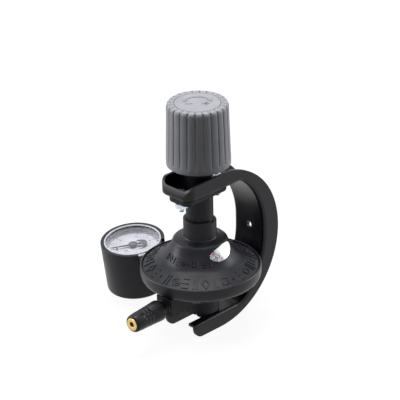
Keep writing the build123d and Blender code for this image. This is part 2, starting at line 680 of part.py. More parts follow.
# --- Bonnet: conical upper half of the diaphragm housing, with the spindle well ----------------------------
cone_middle = (
    (CONE_FOOT_RADIUS + CONE_TOP_RADIUS) / 2 - CONE_SAG,
    (CONE_FOOT + CONE_TOP) / 2,
)
lip_radius = DISC_RADIUS - CRIMP_LIP

with BuildPart() as bonnet:
    with BuildSketch(Plane.XZ):
        with BuildLine():
            Polyline(
                (lip_radius, DISC_TOP),
                (flange_radius, DISC_TOP),
                (flange_radius, bonnet_foot),
                (lip_radius - BONNET_WALL, bonnet_foot),
                (lip_radius - 2 * BONNET_WALL, DISC_TOP - BONNET_WALL / 2),
                (CONE_FOOT_RADIUS - BONNET_WALL / 2, CONE_FOOT - BONNET_WALL),
                (CONE_TOP_RADIUS - BONNET_WALL, cone_roof),
                (COLLAR_RADIUS, cone_roof),
                (COLLAR_RADIUS, well_underside),
                (JOURNAL_RADIUS + RUN_FIT, well_underside),
                (JOURNAL_RADIUS + RUN_FIT, WELL_FLOOR),
                (NECK_RADIUS + LOOSE_FIT, WELL_FLOOR),
                (NECK_RADIUS + LOOSE_FIT, COLLAR_TOP),
                (COLLAR_RADIUS, COLLAR_TOP),
                (COLLAR_RADIUS, COLLAR_FOOT),
                (CONE_TOP_RADIUS, CONE_TOP),
            )
            ThreePointArc(
                (CONE_TOP_RADIUS, CONE_TOP), cone_middle, (CONE_FOOT_RADIUS, CONE_FOOT)
            )
            Line((CONE_FOOT_RADIUS, CONE_FOOT), (lip_radius, DISC_TOP))
        make_face()
    revolve(axis=Axis.Z)
    shoulder_edge = bonnet.edges().filter_by(
        lambda edge: abs(edge.radius - CONE_TOP_RADIUS) < 0.01
        and abs((edge @ 0).Z - CONE_TOP) < 0.01
        if edge.geom_type == GeomType.CIRCLE
        else False
    )
    fillet(shoulder_edge, BONNET_WALL / 2)
    with BuildSketch(Plane.XY.offset(COLLAR_TOP)):
        Circle(COLLAR_RADIUS)
        Rectangle(COLLAR_RADIUS, 2 * COLLAR_RADIUS, align=(Align.MAX, Align.CENTER), mode=Mode.SUBTRACT)
    extrude(amount=-COLLAR_STEP, mode=Mode.SUBTRACT)
    with BuildSketch(Plane.XY.offset(bonnet_foot)):
        with Locations((0, (CONE_TOP_RADIUS + CONE_FOOT_RADIUS) / 2)):
            Circle(VENT_RADIUS)
    extrude(amount=CONE_TOP - bonnet_foot, mode=Mode.SUBTRACT)
save(bonnet, "bonnet")

crimp_ring_outline = [
    (lip_radius, DISC_TOP),
    (lip_radius, DISC_TOP + CRIMP_SHEET),
    (DISC_RADIUS - CRIMP_SHEET, DISC_TOP + CRIMP_SHEET),
    (DISC_RADIUS, DISC_TOP),
    (DISC_RADIUS, CRIMP_BOTTOM + CRIMP_SHEET / 2),
    (DISC_RADIUS - CRIMP_SHEET / 2, CRIMP_BOTTOM),
    (DISC_RADIUS - CRIMP_FLOOR_LIP, CRIMP_BOTTOM),
    (DISC_RADIUS - CRIMP_FLOOR_LIP, CRIMP_BOTTOM + CRIMP_SHEET),
    (flange_radius, CRIMP_BOTTOM + CRIMP_SHEET),
    (flange_radius, DISC_TOP),
]
with BuildPart() as crimp_ring:
    lathe(crimp_ring_outline)
save(crimp_ring, "crimp_ring")

# --- Lower housing: pan, inlet boss, outlet block, gauge port and mechanism posts ---------------------------
pan_foot = CRIMP_BOTTOM + CRIMP_SHEET
with BuildPart() as lower_housing:
    with BuildSketch(Plane.XZ):
        with BuildLine():
            Polyline(
                (0, 0),
                (INLET_RADIUS, 0),
                (INLET_RADIUS, PAN_FLOOR),
                (PAN_FLOOR_RADIUS, PAN_FLOOR),
                (pan_side_radius, PAN_SIDE),
                (pan_lip_radius, pan_foot),
                (flange_radius, pan_foot),
                (flange_radius, flange_top),
                (0, flange_top),
                close=True,
            )
        make_face()
    revolve(axis=Axis.Z)
    with BuildSketch(Plane.YZ.offset(-OUTLET_REACH)):
        with Locations((0, OUTLET_BOTTOM)):
            Rectangle(
                2 * OUTLET_HALF_WIDTH, OUTLET_TOP - OUTLET_BOTTOM,
                align=(Align.CENTER, Align.MIN),
            )
    extrude(amount=OUTLET_REACH - INLET_RADIUS / 2)
    with BuildSketch(Plane.XZ.offset(-port_boss_reach)):
        with Locations((0, GAUGE_LEVEL)):
            Circle(PORT_BOSS_RADIUS)
    extrude(amount=port_boss_reach - INLET_RADIUS / 2)
    with BuildSketch(Plane.XZ):
        Polygon(
            (0, CHAMBER_FLOOR),
            (CHAMBER_FLOOR_RADIUS, CHAMBER_FLOOR),
            (chamber_radius, CHAMBER_SHOULDER),
            (chamber_radius, flange_top),
            (0, flange_top),
            align=None,
        )
    revolve(axis=Axis.Z, mode=Mode.SUBTRACT)
    with BuildSketch(Plane.XY.offset(CHAMBER_FLOOR)):
        with Locations((0, 0)):
            Rectangle(
                ORIFICE_BLOCK_HALF + ORIFICE_FACE, 2 * ORIFICE_BLOCK_HALF,
                align=(Align.CENTER, Align.CENTER),
            )
    extrude(amount=ORIFICE_BLOCK_TOP - CHAMBER_FLOOR)
    with BuildSketch(Plane.XY.offset(CHAMBER_FLOOR)):
        with Locations((GUIDE_START, 0)):
            Rectangle(GUIDE_LENGTH, 2 * GUIDE_HALF_WIDTH, align=(Align.MIN, Align.CENTER))
    extrude(amount=GUIDE_TOP - CHAMBER_FLOOR)
    for side in (-1, 1):
        ear_start = EAR_INNER if side > 0 else -EAR_INNER - EAR_THICK
        with BuildSketch(Plane.XZ.offset(-ear_start)):
            with Locations((PIVOT_REACH, PIVOT_LEVEL)):
                Circle(EAR_RADIUS)
            with Locations((PIVOT_REACH, CHAMBER_FLOOR)):
                Rectangle(
                    2 * EAR_RADIUS, PIVOT_LEVEL - CHAMBER_FLOOR,
                    align=(Align.CENTER, Align.MIN),
                )
            with Locations((PIVOT_REACH, PIVOT_LEVEL)):
                Circle(PIVOT_RADIUS, mode=Mode.SUBTRACT)
        extrude(amount=-EAR_THICK)
    # gas way: inlet bore, riser, cross bore into the orifice, outlet bore, gauge passage,
    # and the spot face that the hose tail seats on
    with BuildSketch(Plane.XY):
        Circle(SEAL_RADIUS)
    extrude(amount=SEAL_THICK, mode=Mode.SUBTRACT)
    with BuildSketch(Plane.XY):
        Circle(INLET_BORE)
    extrude(amount=inlet_depth, mode=Mode.SUBTRACT)
    with BuildSketch(Plane.XY.offset(inlet_depth)):
        Circle(GAS_BORE)
    extrude(amount=ORIFICE_LEVEL - inlet_depth, mode=Mode.SUBTRACT)
    with BuildSketch(Plane.YZ):
        with Locations((0, ORIFICE_LEVEL)):
            Circle(GAS_BORE)
    extrude(amount=ORIFICE_FACE, mode=Mode.SUBTRACT)
    with BuildSketch(Plane.YZ.offset(GUIDE_START)):
        with Locations((0, ORIFICE_LEVEL)):
            Circle(HOLDER_RADIUS + RUN_FIT)
    extrude(amount=GUIDE_LENGTH, mode=Mode.SUBTRACT)
    with BuildSketch(Plane.YZ.offset(-OUTLET_REACH)):
        with Locations((0, OUTLET_LEVEL)):
            Circle(OUTLET_BORE)
    extrude(amount=OUTLET_REACH - OUTLET_DROP, mode=Mode.SUBTRACT)
    with BuildSketch(Plane.YZ.offset(-OUTLET_REACH)):
        with Locations((0, OUTLET_LEVEL)):
            Circle(TAIL_THREAD_RADIUS)
    extrude(amount=TAIL_THREAD, mode=Mode.SUBTRACT)
    with BuildSketch(Plane.YZ.offset(-OUTLET_REACH)):
        with Locations((0, OUTLET_LEVEL)):
            Circle(TAIL_SEAL_RADIUS + LOOSE_FIT)
    extrude(amount=-DISC_RADIUS, mode=Mode.SUBTRACT)
    with BuildSketch(Plane.XY.offset(OUTLET_LEVEL)):
        with Locations((-OUTLET_DROP, 0)):
            Circle(OUTLET_BORE)
    extrude(amount=CHAMBER_FLOOR - OUTLET_LEVEL + OUTLET_BORE, mode=Mode.SUBTRACT)
    with BuildSketch(Plane.XZ.offset(-port_boss_reach)):
        with Locations((0, GAUGE_LEVEL)):
            Circle(PORT_THREAD_RADIUS)
    extrude(amount=PORT_THREAD, mode=Mode.SUBTRACT)
    with BuildSketch(Plane.XZ.offset(-port_boss_reach)):
        with Locations((0, GAUGE_LEVEL - PORT_BORE)):
            Circle(PORT_BORE)
    extrude(amount=port_boss_reach - INLET_BORE / 2, mode=Mode.SUBTRACT)
save(lower_housing, "lower_housing")

with BuildPart() as inlet_seal:
    with BuildSketch(Plane.XY):
        Circle(SEAL_RADIUS)
        Circle(INLET_BORE + LOOSE_FIT, mode=Mode.SUBTRACT)
    extrude(amount=SEAL_THICK)
save(inlet_seal, "inlet_seal")

carrier_top = CARRIER_FOOT + CARRIER_THICK
with BuildPart() as pin_carrier:
    with BuildSketch(Plane.XY.offset(CARRIER_FOOT)):
        Circle(INLET_BORE)
        Circle(PIN_SHANK, mode=Mode.SUBTRACT)
        with PolarLocations((INLET_BORE + PIN_SHANK) / 2, CARRIER_PORTS):
            Circle(CARRIER_PORT, mode=Mode.SUBTRACT)
    extrude(amount=CARRIER_THICK)
save(pin_carrier, "pin_carrier")

push_pin_outline = [
    (0, -PIN_DROP),
    (PIN_RADIUS - THREAD_DEPTH, -PIN_DROP),
    (PIN_RADIUS, THREAD_DEPTH - PIN_DROP),
    (PIN_RADIUS, CARRIER_FOOT),
    (PIN_SHANK, CARRIER_FOOT),
    (PIN_SHANK, carrier_top),
    (0, carrier_top),
]
with BuildPart() as push_pin:
    lathe(push_pin_outline)
save(push_pin, "push_pin")

with BuildPart() as inlet_filter:
    with BuildSketch(Plane.XY.offset(carrier_top + SEAT_GAP)):
        Circle(INLET_BORE)
    extrude(amount=FILTER_THICK)
save(inlet_filter, "inlet_filter")

nose_tip = ORIFICE_FACE + ORIFICE_HEX + ORIFICE_NOSE
orifice_outline = [
    (ORIFICE_BORE, GAS_BORE),
    (GAS_BORE, GAS_BORE),
    (GAS_BORE, ORIFICE_FACE),
    (ORIFICE_HEX_RADIUS, ORIFICE_FACE),
    (ORIFICE_HEX_RADIUS, ORIFICE_FACE + ORIFICE_HEX),
    (ORIFICE_BORE + 2 * SEAT_LIFT, nose_tip),
    (ORIFICE_BORE, nose_tip),
]
orifice_plane = Plane(origin=(0, 0, ORIFICE_LEVEL), x_dir=(0, 0, 1), z_dir=(0, 1, 0))
orifice_axis = Axis((0, 0, ORIFICE_LEVEL), (1, 0, 0))
with BuildPart() as orifice:
    lathe(orifice_outline, orifice_plane, orifice_axis)
save(orifice, "orifice")

# --- Seat holder, rubber pad, lever and its pin --------------------------------------------------------------
pad_face = nose_tip + SEAT_LIFT
holder_face = pad_face + HOLDER_LIP
holder_back = holder_face + HOLDER_LENGTH
with BuildPart() as seat_pad:
    with BuildSketch(Plane.YZ.offset(pad_face)):
        with Locations((0, ORIFICE_LEVEL)):
            Circle(PAD_RADIUS)
    extrude(amount=PAD_THICK)
save(seat_pad, "seat_pad")

with BuildPart() as seat_holder:
    with BuildSketch(Plane.YZ.offset(holder_face)):
        with Locations((0, ORIFICE_LEVEL)):
            Circle(HOLDER_RADIUS)
    extrude(amount=HOLDER_LENGTH)
    with BuildSketch(Plane.YZ.offset(holder_face)):
        with Locations((0, ORIFICE_LEVEL)):
            Circle(PAD_RADIUS)
    extrude(amount=PAD_THICK - HOLDER_LIP, mode=Mode.SUBTRACT)
save(seat_holder, "seat_holder")

with BuildPart() as lever_pin:
    with BuildSketch(Plane.XZ.offset(-EAR_INNER - EAR_THICK)):
        with Locations((PIVOT_REACH, PIVOT_LEVEL)):
            Circle(PIVOT_RADIUS)
    extrude(amount=2 * (EAR_INNER + EAR_THICK))
save(lever_pin, "lever_pin")

lever_hub_half = EAR_INNER - LEVER_SIDE_GAP
toe_face = holder_back + LEVER_TOE_GAP
with BuildPart() as lever:
    with BuildSketch(Plane.XZ):
        with Locations((PIVOT_REACH, PIVOT_LEVEL)):
            Circle(LEVER_HUB_RADIUS)
        Polygon(
            (toe_face, ORIFICE_LEVEL - PIVOT_RADIUS),
            (toe_face + 2 * LEVER_THICK, ORIFICE_LEVEL - PIVOT_RADIUS),
            (PIVOT_REACH + LEVER_THICK, PIVOT_LEVEL),
            (PIVOT_REACH - LEVER_THICK, PIVOT_LEVEL),
            align=None,
        )
    extrude(amount=lever_hub_half, both=True)
    with BuildSketch(Plane.XY.offset(LEVER_TOP)):
        Rectangle(PIVOT_REACH, 2 * LEVER_HALF_WIDTH, align=(Align.MIN, Align.CENTER))
        Circle(FORK_HALF_WIDTH)
        with Locations((-FORK_HALF_WIDTH, 0)):
            Rectangle(
                FORK_HALF_WIDTH, 2 * (STEM_RADIUS + LEVER_PLAY),
                align=(Align.MIN, Align.CENTER), mode=Mode.SUBTRACT,
            )
        Circle(STEM_RADIUS + LEVER_PLAY, mode=Mode.SUBTRACT)
    extrude(amount=-LEVER_THICK)
    with BuildSketch(Plane.XY.offset(LEVER_TOP)):
        with Locations((PIVOT_REACH, 0)):
            Rectangle(2 * LEVER_THICK, 2 * lever_hub_half)
    extrude(amount=PIVOT_LEVEL - LEVER_TOP)
    with BuildSketch(Plane.XZ):
        with Locations((PIVOT_REACH, PIVOT_LEVEL)):
            Circle(PIVOT_RADIUS + RUN_FIT)
    extrude(amount=lever_hub_half, both=True, mode=Mode.SUBTRACT)
save(lever, "lever")

# --- Diaphragm, its plates, stem and loading spring ---------------------------------------------------------
lower_plate_foot = flange_top - PLATE_SHEET
upper_plate_top = bonnet_foot + PLATE_SHEET
stem_top = upper_plate_top + STEM_NUT + STEM_NUT / 4
stem_foot = LEVER_TOP - LEVER_THICK - LEVER_PLAY - STEM_FOOT_THICK
with BuildPart() as diaphragm:
    with BuildSketch(Plane.XY.offset(flange_top)):
        Circle(flange_radius)
        Circle(STEM_RADIUS, mode=Mode.SUBTRACT)
    extrude(amount=DIAPHRAGM_THICK)
    with BuildSketch(Plane.XZ):
        with Locations(((chamber_radius + UPPER_PLATE_RADIUS) / 2, bonnet_foot)):
            Circle(DIAPHRAGM_BEAD)
        with Locations((0, bonnet_foot)):
            Rectangle(
                2 * chamber_radius, DIAPHRAGM_BEAD,
                align=(Align.CENTER, Align.MAX), mode=Mode.SUBTRACT,
            )
    revolve(axis=Axis.Z)
save(diaphragm, "diaphragm")

with BuildPart() as lower_plate:
    with BuildSketch(Plane.XY.offset(lower_plate_foot)):
        Circle(LOWER_PLATE_RADIUS)
        Circle(STEM_RADIUS, mode=Mode.SUBTRACT)
    extrude(amount=PLATE_SHEET)
save(lower_plate, "lower_plate")

with BuildPart() as upper_plate:
    with BuildSketch(Plane.XY.offset(bonnet_foot)):
        Circle(UPPER_PLATE_RADIUS)
        Circle(STEM_RADIUS, mode=Mode.SUBTRACT)
    extrude(amount=PLATE_SHEET)
    with BuildSketch(Plane.XY.offset(upper_plate_top)):
        Circle(UPPER_PLATE_RADIUS)
        Circle(SPRING_RADIUS + SPRING_WIRE + LOOSE_FIT, mode=Mode.SUBTRACT)
    extrude(amount=PLATE_SHEET)
save(upper_plate, "upper_plate")

stem_outline = [
    (0, stem_foot),
    (STEM_SHOULDER_RADIUS, stem_foot),
    (STEM_SHOULDER_RADIUS, stem_foot + STEM_FOOT_THICK),
    (STEM_RADIUS, stem_foot + STEM_FOOT_THICK),
    (STEM_RADIUS, LEVER_TOP + LEVER_PLAY),
    (STEM_SHOULDER_RADIUS, LEVER_TOP + LEVER_PLAY),
    (STEM_SHOULDER_RADIUS, lower_plate_foot),
    (STEM_RADIUS, lower_plate_foot),
    (STEM_RADIUS, stem_top),
    (0, stem_top),
]
with BuildPart() as diaphragm_stem:
    lathe(stem_outline)
save(diaphragm_stem, "diaphragm_stem")

with BuildPart() as stem_nut:
    with BuildSketch(Plane.XY.offset(upper_plate_top)):
        RegularPolygon(STEM_NUT_RADIUS, 6)
        Circle(STEM_RADIUS, mode=Mode.SUBTRACT)
    extrude(amount=STEM_NUT)
save(stem_nut, "stem_nut")

spring_height = cone_roof - upper_plate_top - 2 * SPRING_WIRE - 2 * SEAT_GAP
with BuildPart() as loading_spring:
    with BuildLine():
        coil = Helix(
            pitch=spring_height / SPRING_TURNS,
            height=spring_height,
            radius=SPRING_RADIUS,
            center=(0, 0, upper_plate_top + SPRING_WIRE + SEAT_GAP),
        )
    with BuildSketch(Plane(origin=coil @ 0, z_dir=coil % 0)):
        Circle(SPRING_WIRE)
    sweep(is_frenet=True)
save(loading_spring, "loading_spring")

# --- Hose tail with its brass insert and seal -------------------------------------------------------------------
tail_plane = Plane(origin=(tail_tip, 0, OUTLET_LEVEL), x_dir=(0, 0, 1), z_dir=(0, 1, 0))
tail_axis = Axis((0, 0, OUTLET_LEVEL), (1, 0, 0))
collar_start = TAIL_LENGTH - TAIL_SEAL_THICK - TAIL_COLLAR
tail_outline = [
    (INSERT_RADIUS, 0),
    (TAIL_TIP_RADIUS - THREAD_DEPTH / 2, 0),
    (TAIL_TIP_RADIUS, THREAD_DEPTH),
    (TAIL_BARB_RADIUS, TAIL_BARB),
    (TAIL_BARB_RADIUS, TAIL_BARB + BARB_LAND),
    (TAIL_STEM_RADIUS, TAIL_BARB + 2 * BARB_LAND),
    (TAIL_STOP_RADIUS - THREAD_DEPTH, TAIL_STOP - BARB_LAND),
    (TAIL_STOP_RADIUS, TAIL_STOP),
    (TAIL_STOP_RADIUS, TAIL_STOP + BARB_LAND),
    (TAIL_NECK_RADIUS, TAIL_STOP + 2 * BARB_LAND),
    (TAIL_NECK_RADIUS, TAIL_LENGTH - TAIL_SEAL_THICK),
    (TAIL_THREAD_RADIUS, TAIL_LENGTH - TAIL_SEAL_THICK),
    (TAIL_THREAD_RADIUS, TAIL_LENGTH + TAIL_THREAD - BARB_LAND),
    (TAIL_BORE, TAIL_LENGTH + TAIL_THREAD - BARB_LAND),
    (TAIL_BORE, INSERT_LENGTH),
    (INSERT_RADIUS, INSERT_LENGTH),
]
with BuildPart() as hose_tail:
    lathe(tail_outline, tail_plane, tail_axis)
    with BuildSketch(Plane.YZ.offset(tail_tip + collar_start)):
        with Locations((0, OUTLET_LEVEL)):
            Circle(TAIL_SEAL_RADIUS)
            Circle(TAIL_BORE, mode=Mode.SUBTRACT)
    extrude(amount=TAIL_COLLAR)
save(hose_tail, "hose_tail")

with BuildPart() as tail_seal:
    with BuildSketch(Plane.YZ.offset(-OUTLET_REACH - TAIL_SEAL_THICK)):
        with Locations((0, OUTLET_LEVEL)):
            Circle(TAIL_SEAL_RADIUS)
            Circle(TAIL_THREAD_RADIUS, mode=Mode.SUBTRACT)
    extrude(amount=TAIL_SEAL_THICK)
save(tail_seal, "tail_seal")

insert_outline = [
    (INSERT_BORE, -INSERT_PROUD),
    (INSERT_RADIUS - INSERT_PROUD, -INSERT_PROUD),
    (INSERT_RADIUS, 0),
    (INSERT_RADIUS, INSERT_LENGTH),
    (INSERT_BORE, INSERT_LENGTH),
]
with BuildPart() as tail_insert:
    lathe(insert_outline, tail_plane, tail_axis)
save(tail_insert, "tail_insert")

# --- Foil seal: an oval silver sticker wrapped on the cone ---------------------------------------------------------
sticker_plane = Plane(
    origin=(0, 0, STICKER_LEVEL),
    x_dir=(-sin(radians(STICKER_AZIMUTH)), cos(radians(STICKER_AZIMUTH)), 0),
    z_dir=(cos(radians(STICKER_AZIMUTH)), sin(radians(STICKER_AZIMUTH)), 0),
)
with BuildPart() as foil_seal:
    with BuildSketch(Plane.XZ):
        with BuildLine():
            ThreePointArc(
                (CONE_TOP_RADIUS + FOIL_GAP, CONE_TOP),
                (cone_middle[0] + FOIL_GAP, cone_middle[1]),
                (CONE_FOOT_RADIUS + FOIL_GAP, CONE_FOOT),
            )
            Line(
                (CONE_FOOT_RADIUS + FOIL_GAP, CONE_FOOT),
                (CONE_FOOT_RADIUS + FOIL_GAP + STICKER_THICK, CONE_FOOT),
            )
            ThreePointArc(
                (CONE_FOOT_RADIUS + FOIL_GAP + STICKER_THICK, CONE_FOOT),
                (cone_middle[0] + FOIL_GAP + STICKER_THICK, cone_middle[1]),
                (CONE_TOP_RADIUS + FOIL_GAP + STICKER_THICK, CONE_TOP),
            )
            Line(
                (CONE_TOP_RADIUS + FOIL_GAP + STICKER_THICK, CONE_TOP),
                (CONE_TOP_RADIUS + FOIL_GAP, CONE_TOP),
            )
        make_face()
    revolve(axis=Axis.Z)
    with BuildSketch(sticker_plane):
        Ellipse(STICKER_LENGTH / 2, STICKER_HEIGHT / 2, rotation=STICKER_TILT)
    extrude(amount=DISC_RADIUS, mode=Mode.INTERSECT)
save(foil_seal, "foil_seal")

# --- Gauge: case, liner, lens, dial and its screws ----------------------------------------------------------------------
case_floor = GAUGE_FOOT + CASE_WALL
with BuildPart() as gauge_case:
    with BuildSketch(gauge_side):
        Polygon(
            (0, GAUGE_FOOT),
            (CASE_FOOT_RADIUS, GAUGE_FOOT),
            (CASE_RADIUS, GAUGE_RIM),
            (cavity_radius(GAUGE_RIM), GAUGE_RIM),
            (cavity_radius(case_floor), case_floor),
            (0, case_floor),
            align=None,
        )
    revolve(axis=gauge_axis)
    foot_edge = gauge_case.edges().filter_by(GeomType.CIRCLE).filter_by(
        lambda edge: abs(edge.radius - CASE_FOOT_RADIUS) < 0.01
    )
    fillet(foot_edge, CASE_FOOT_ROUND)
    with BuildSketch(gauge_plan.offset(notch_floor)):
        Polygon(
            (0, 0),
            (-2 * CASE_RADIUS * sin(radians(NOTCH_HALF_ANGLE)),
             -2 * CASE_RADIUS * cos(radians(NOTCH_HALF_ANGLE))),
            (2 * CASE_RADIUS * sin(radians(NOTCH_HALF_ANGLE)),
             -2 * CASE_RADIUS * cos(radians(NOTCH_HALF_ANGLE))),
            align=None,
        )
    extrude(amount=GAUGE_RIM, mode=Mode.SUBTRACT)
    with BuildSketch(Plane.XZ.offset(2 * CASE_RADIUS - gauge_reach)):
        with Locations((0, GAUGE_LEVEL)):
            Circle(STEM_NECK_RADIUS + LOOSE_FIT)
    extrude(amount=-2 * CASE_RADIUS, mode=Mode.SUBTRACT)
save(gauge_case, "gauge_case")

dial_top = DIAL_LEVEL + DIAL_SHEET
movement_foot = SOCKET_TOP + SEAT_GAP
movement_top = movement_foot + 2 * MOVEMENT_SHEET + MOVEMENT_GAP
with BuildPart() as gauge_liner:
    with BuildSketch(gauge_side):
        Polygon(
            (cavity_radius(dial_top) - SEAT_GAP, dial_top),
            (cavity_radius(LENS_FOOT) - SEAT_GAP, LENS_FOOT),
            (cavity_radius(LENS_FOOT) - LINER_WALL, LENS_FOOT),
            (cavity_radius(dial_top) - LINER_WALL, dial_top),
            align=None,
        )
    revolve(axis=gauge_axis)
save(gauge_liner, "gauge_liner")

with BuildPart() as gauge_lens:
    with BuildSketch(gauge_plan.offset(LENS_FOOT)):
        Circle(cavity_radius(LENS_FOOT) - SEAT_GAP)
    extrude(amount=LENS_THICK)
save(gauge_lens, "gauge_lens")

with BuildPart() as gauge_dial:
    with BuildSketch(gauge_plan.offset(DIAL_LEVEL)):
        Circle(cavity_radius(DIAL_LEVEL) - SEAT_GAP)
        Circle(ARBOR_RADIUS + LOOSE_FIT, mode=Mode.SUBTRACT)
        with Locations((-DIAL_SCREW_PITCH / 2, 0), (DIAL_SCREW_PITCH / 2, 0)):
            Circle(DIAL_SCREW_RADIUS, mode=Mode.SUBTRACT)
    extrude(amount=DIAL_SHEET)
save(gauge_dial, "gauge_dial")

with BuildPart() as dial_screws:
    for side in (-1, 1):
        with BuildSketch(gauge_plan.offset(movement_top)):
            with Locations((side * DIAL_SCREW_PITCH / 2, 0)):
                Circle(DIAL_SCREW_RADIUS)
        extrude(amount=dial_top - movement_top)
        with BuildSketch(gauge_plan.offset(dial_top)):
            with Locations((side * DIAL_SCREW_PITCH / 2, 0)):
                Circle(DIAL_SCREW_HEAD)
        extrude(amount=DIAL_SHEET)
save(dial_screws, "dial_screws")

stop_turn = radians(POINTER_REST + STOP_PIN_TURN)
with BuildPart() as stop_pin:
    with BuildSketch(gauge_plan.offset(dial_top)):
        with Locations((STOP_PIN_REACH * cos(stop_turn), STOP_PIN_REACH * sin(stop_turn))):
            Circle(STOP_PIN_RADIUS)
    extrude(amount=POINTER_GAP + 2 * POINTER_SHEET)
save(stop_pin, "stop_pin")

# --- Gauge movement: socket with its threaded stem, bourdon tube, frame, gears and pointer --------------------
socket_face = gauge_reach - SOCKET_REACH
with BuildPart() as gauge_socket:
    with BuildSketch(gauge_plan.offset(SOCKET_FOOT)):
        with Locations((0, -SOCKET_REACH)):
            Rectangle(
                2 * SOCKET_HALF_WIDTH, SOCKET_REACH + SOCKET_HALF_WIDTH,
                align=(Align.CENTER, Align.MIN),
            )
    extrude(amount=SOCKET_TOP - SOCKET_FOOT)
    with BuildSketch(Plane.XZ.offset(-socket_face)):
        with Locations((0, GAUGE_LEVEL)):
            Circle(STEM_NECK_RADIUS)
    extrude(amount=socket_face - hex_end)
    with BuildSketch(Plane.XZ.offset(-hex_end)):
        with Locations((0, GAUGE_LEVEL)):
            RegularPolygon(STEM_HEX / 2, 6, major_radius=False)
    extrude(amount=hex_end - hex_start)
    with BuildSketch(Plane.XZ.offset(-hex_start)):
        with Locations((0, GAUGE_LEVEL)):
            Circle(PORT_THREAD_RADIUS)
    extrude(amount=PORT_THREAD)
    with BuildSketch(Plane.XZ.offset(PORT_THREAD - hex_start)):
        with Locations((0, GAUGE_LEVEL)):
            Circle(PORT_BORE)
    extrude(amount=hex_start - PORT_THREAD - gauge_reach, mode=Mode.SUBTRACT)
save(gauge_socket, "gauge_socket")

with BuildPart() as port_seal:
    with BuildSketch(Plane.XZ.offset(-port_boss_reach)):
        with Locations((0, GAUGE_LEVEL)):
            Circle(PORT_BOSS_RADIUS)
            Circle(PORT_THREAD_RADIUS, mode=Mode.SUBTRACT)
    extrude(amount=-PORT_SEAL_THICK)
save(port_seal, "port_seal")

with BuildPart() as bourdon_tube:
    with BuildLine(gauge_plan):
        tube_run = CenterArc((0, 0), TUBE_RADIUS, TUBE_START, TUBE_SWEEP)
    with BuildSketch(Plane(origin=tube_run @ 0, x_dir=gauge_plan.z_dir, z_dir=tube_run % 0)):
        Ellipse(TUBE_HALF_HEIGHT, TUBE_HALF_THICK)
    sweep()
save(bourdon_tube, "bourdon_tube")

sector_place = (0, GEAR_CENTRES)
gear_level = movement_foot + MOVEMENT_SHEET + (MOVEMENT_GAP - GEAR_THICK) / 2
with BuildPart() as movement_frame:
    with BuildSketch(gauge_plan.offset(movement_foot)):
        SlotCenterToCenter(GEAR_CENTRES, 2 * MOVEMENT_RADIUS, rotation=90)
        Rectangle(DIAL_SCREW_PITCH + 2 * PILLAR_RADIUS, 2 * MOVEMENT_RADIUS)
    extrude(amount=MOVEMENT_SHEET)
    with BuildSketch(gauge_plan.offset(movement_foot + MOVEMENT_SHEET)):
        with Locations((-DIAL_SCREW_PITCH / 2, 0), (DIAL_SCREW_PITCH / 2, 0)):
            Circle(PILLAR_RADIUS)
    extrude(amount=MOVEMENT_GAP)
    with BuildSketch(gauge_plan.offset(movement_top - MOVEMENT_SHEET)):
        with Locations((0, GEAR_CENTRES / 2)):
            SlotCenterToCenter(GEAR_CENTRES, 2 * MOVEMENT_RADIUS, rotation=90)
        Rectangle(DIAL_SCREW_PITCH + 2 * PILLAR_RADIUS, 2 * MOVEMENT_RADIUS)
    extrude(amount=MOVEMENT_SHEET)
    with BuildSketch(gauge_plan.offset(movement_foot + MOVEMENT_SHEET)):
        with Locations((0, GEAR_CENTRES / 2)):
            SlotCenterToCenter(GEAR_CENTRES, 2 * MOVEMENT_RADIUS, rotation=90)
    extrude(amount=-MOVEMENT_SHEET)
    with BuildSketch(gauge_plan.offset(movement_foot)):
        with Locations((0, 0), sector_place):
            Circle(ARBOR_RADIUS + RUN_FIT)
    extrude(amount=movement_top - movement_foot, mode=Mode.SUBTRACT)
save(movement_frame, "movement_frame")

pointer_foot = dial_top + POINTER_GAP
arbor_top = pointer_foot + POINTER_SHEET
with BuildPart() as pinion:
    with BuildSketch(gauge_plan.offset(movement_foot)):
        Circle(ARBOR_RADIUS)
    extrude(amount=arbor_top - movement_foot)
    with BuildSketch(gauge_plan.offset(gear_level)):
        Circle(PINION_RADIUS)
        with PolarLocations(PINION_RADIUS, PINION_TEETH):
            Rectangle(2 * TOOTH_DEPTH, TOOTH_DEPTH, mode=Mode.SUBTRACT)
    extrude(amount=GEAR_THICK)
save(pinion, "pinion")

sector_radius = GEAR_CENTRES - PINION_RADIUS - GEAR_TIP_GAP
sector_teeth = int(radians(SECTOR_ARC) * sector_radius / (2 * TOOTH_DEPTH))
sector_ratio = PINION_RADIUS / sector_radius
sector_middle = -90 + degrees(radians(POINTER_TRAVEL) * sector_ratio) / 2
with BuildPart() as sector_gear:
    with BuildSketch(gauge_plan.offset(movement_foot)):
        with Locations(sector_place):
            Circle(ARBOR_RADIUS)
    extrude(amount=movement_top - movement_foot)
    with BuildSketch(gauge_plan.offset(gear_level)):
        with BuildLine():
            centre = Vector(*sector_place)
            rim = CenterArc(
                centre, sector_radius, sector_middle - SECTOR_ARC / 2, SECTOR_ARC
            )
            Line(centre, rim @ 0)
            Line(rim @ 1, centre)
        make_face()
        with Locations(centre):
            Circle(2 * ARBOR_RADIUS)
            with PolarLocations(
                sector_radius, sector_teeth,
                start_angle=sector_middle - SECTOR_ARC / 2, angular_range=SECTOR_ARC,
            ):
                Rectangle(2 * TOOTH_DEPTH, TOOTH_DEPTH, mode=Mode.SUBTRACT)
    extrude(amount=GEAR_THICK)
save(sector_gear, "sector_gear")

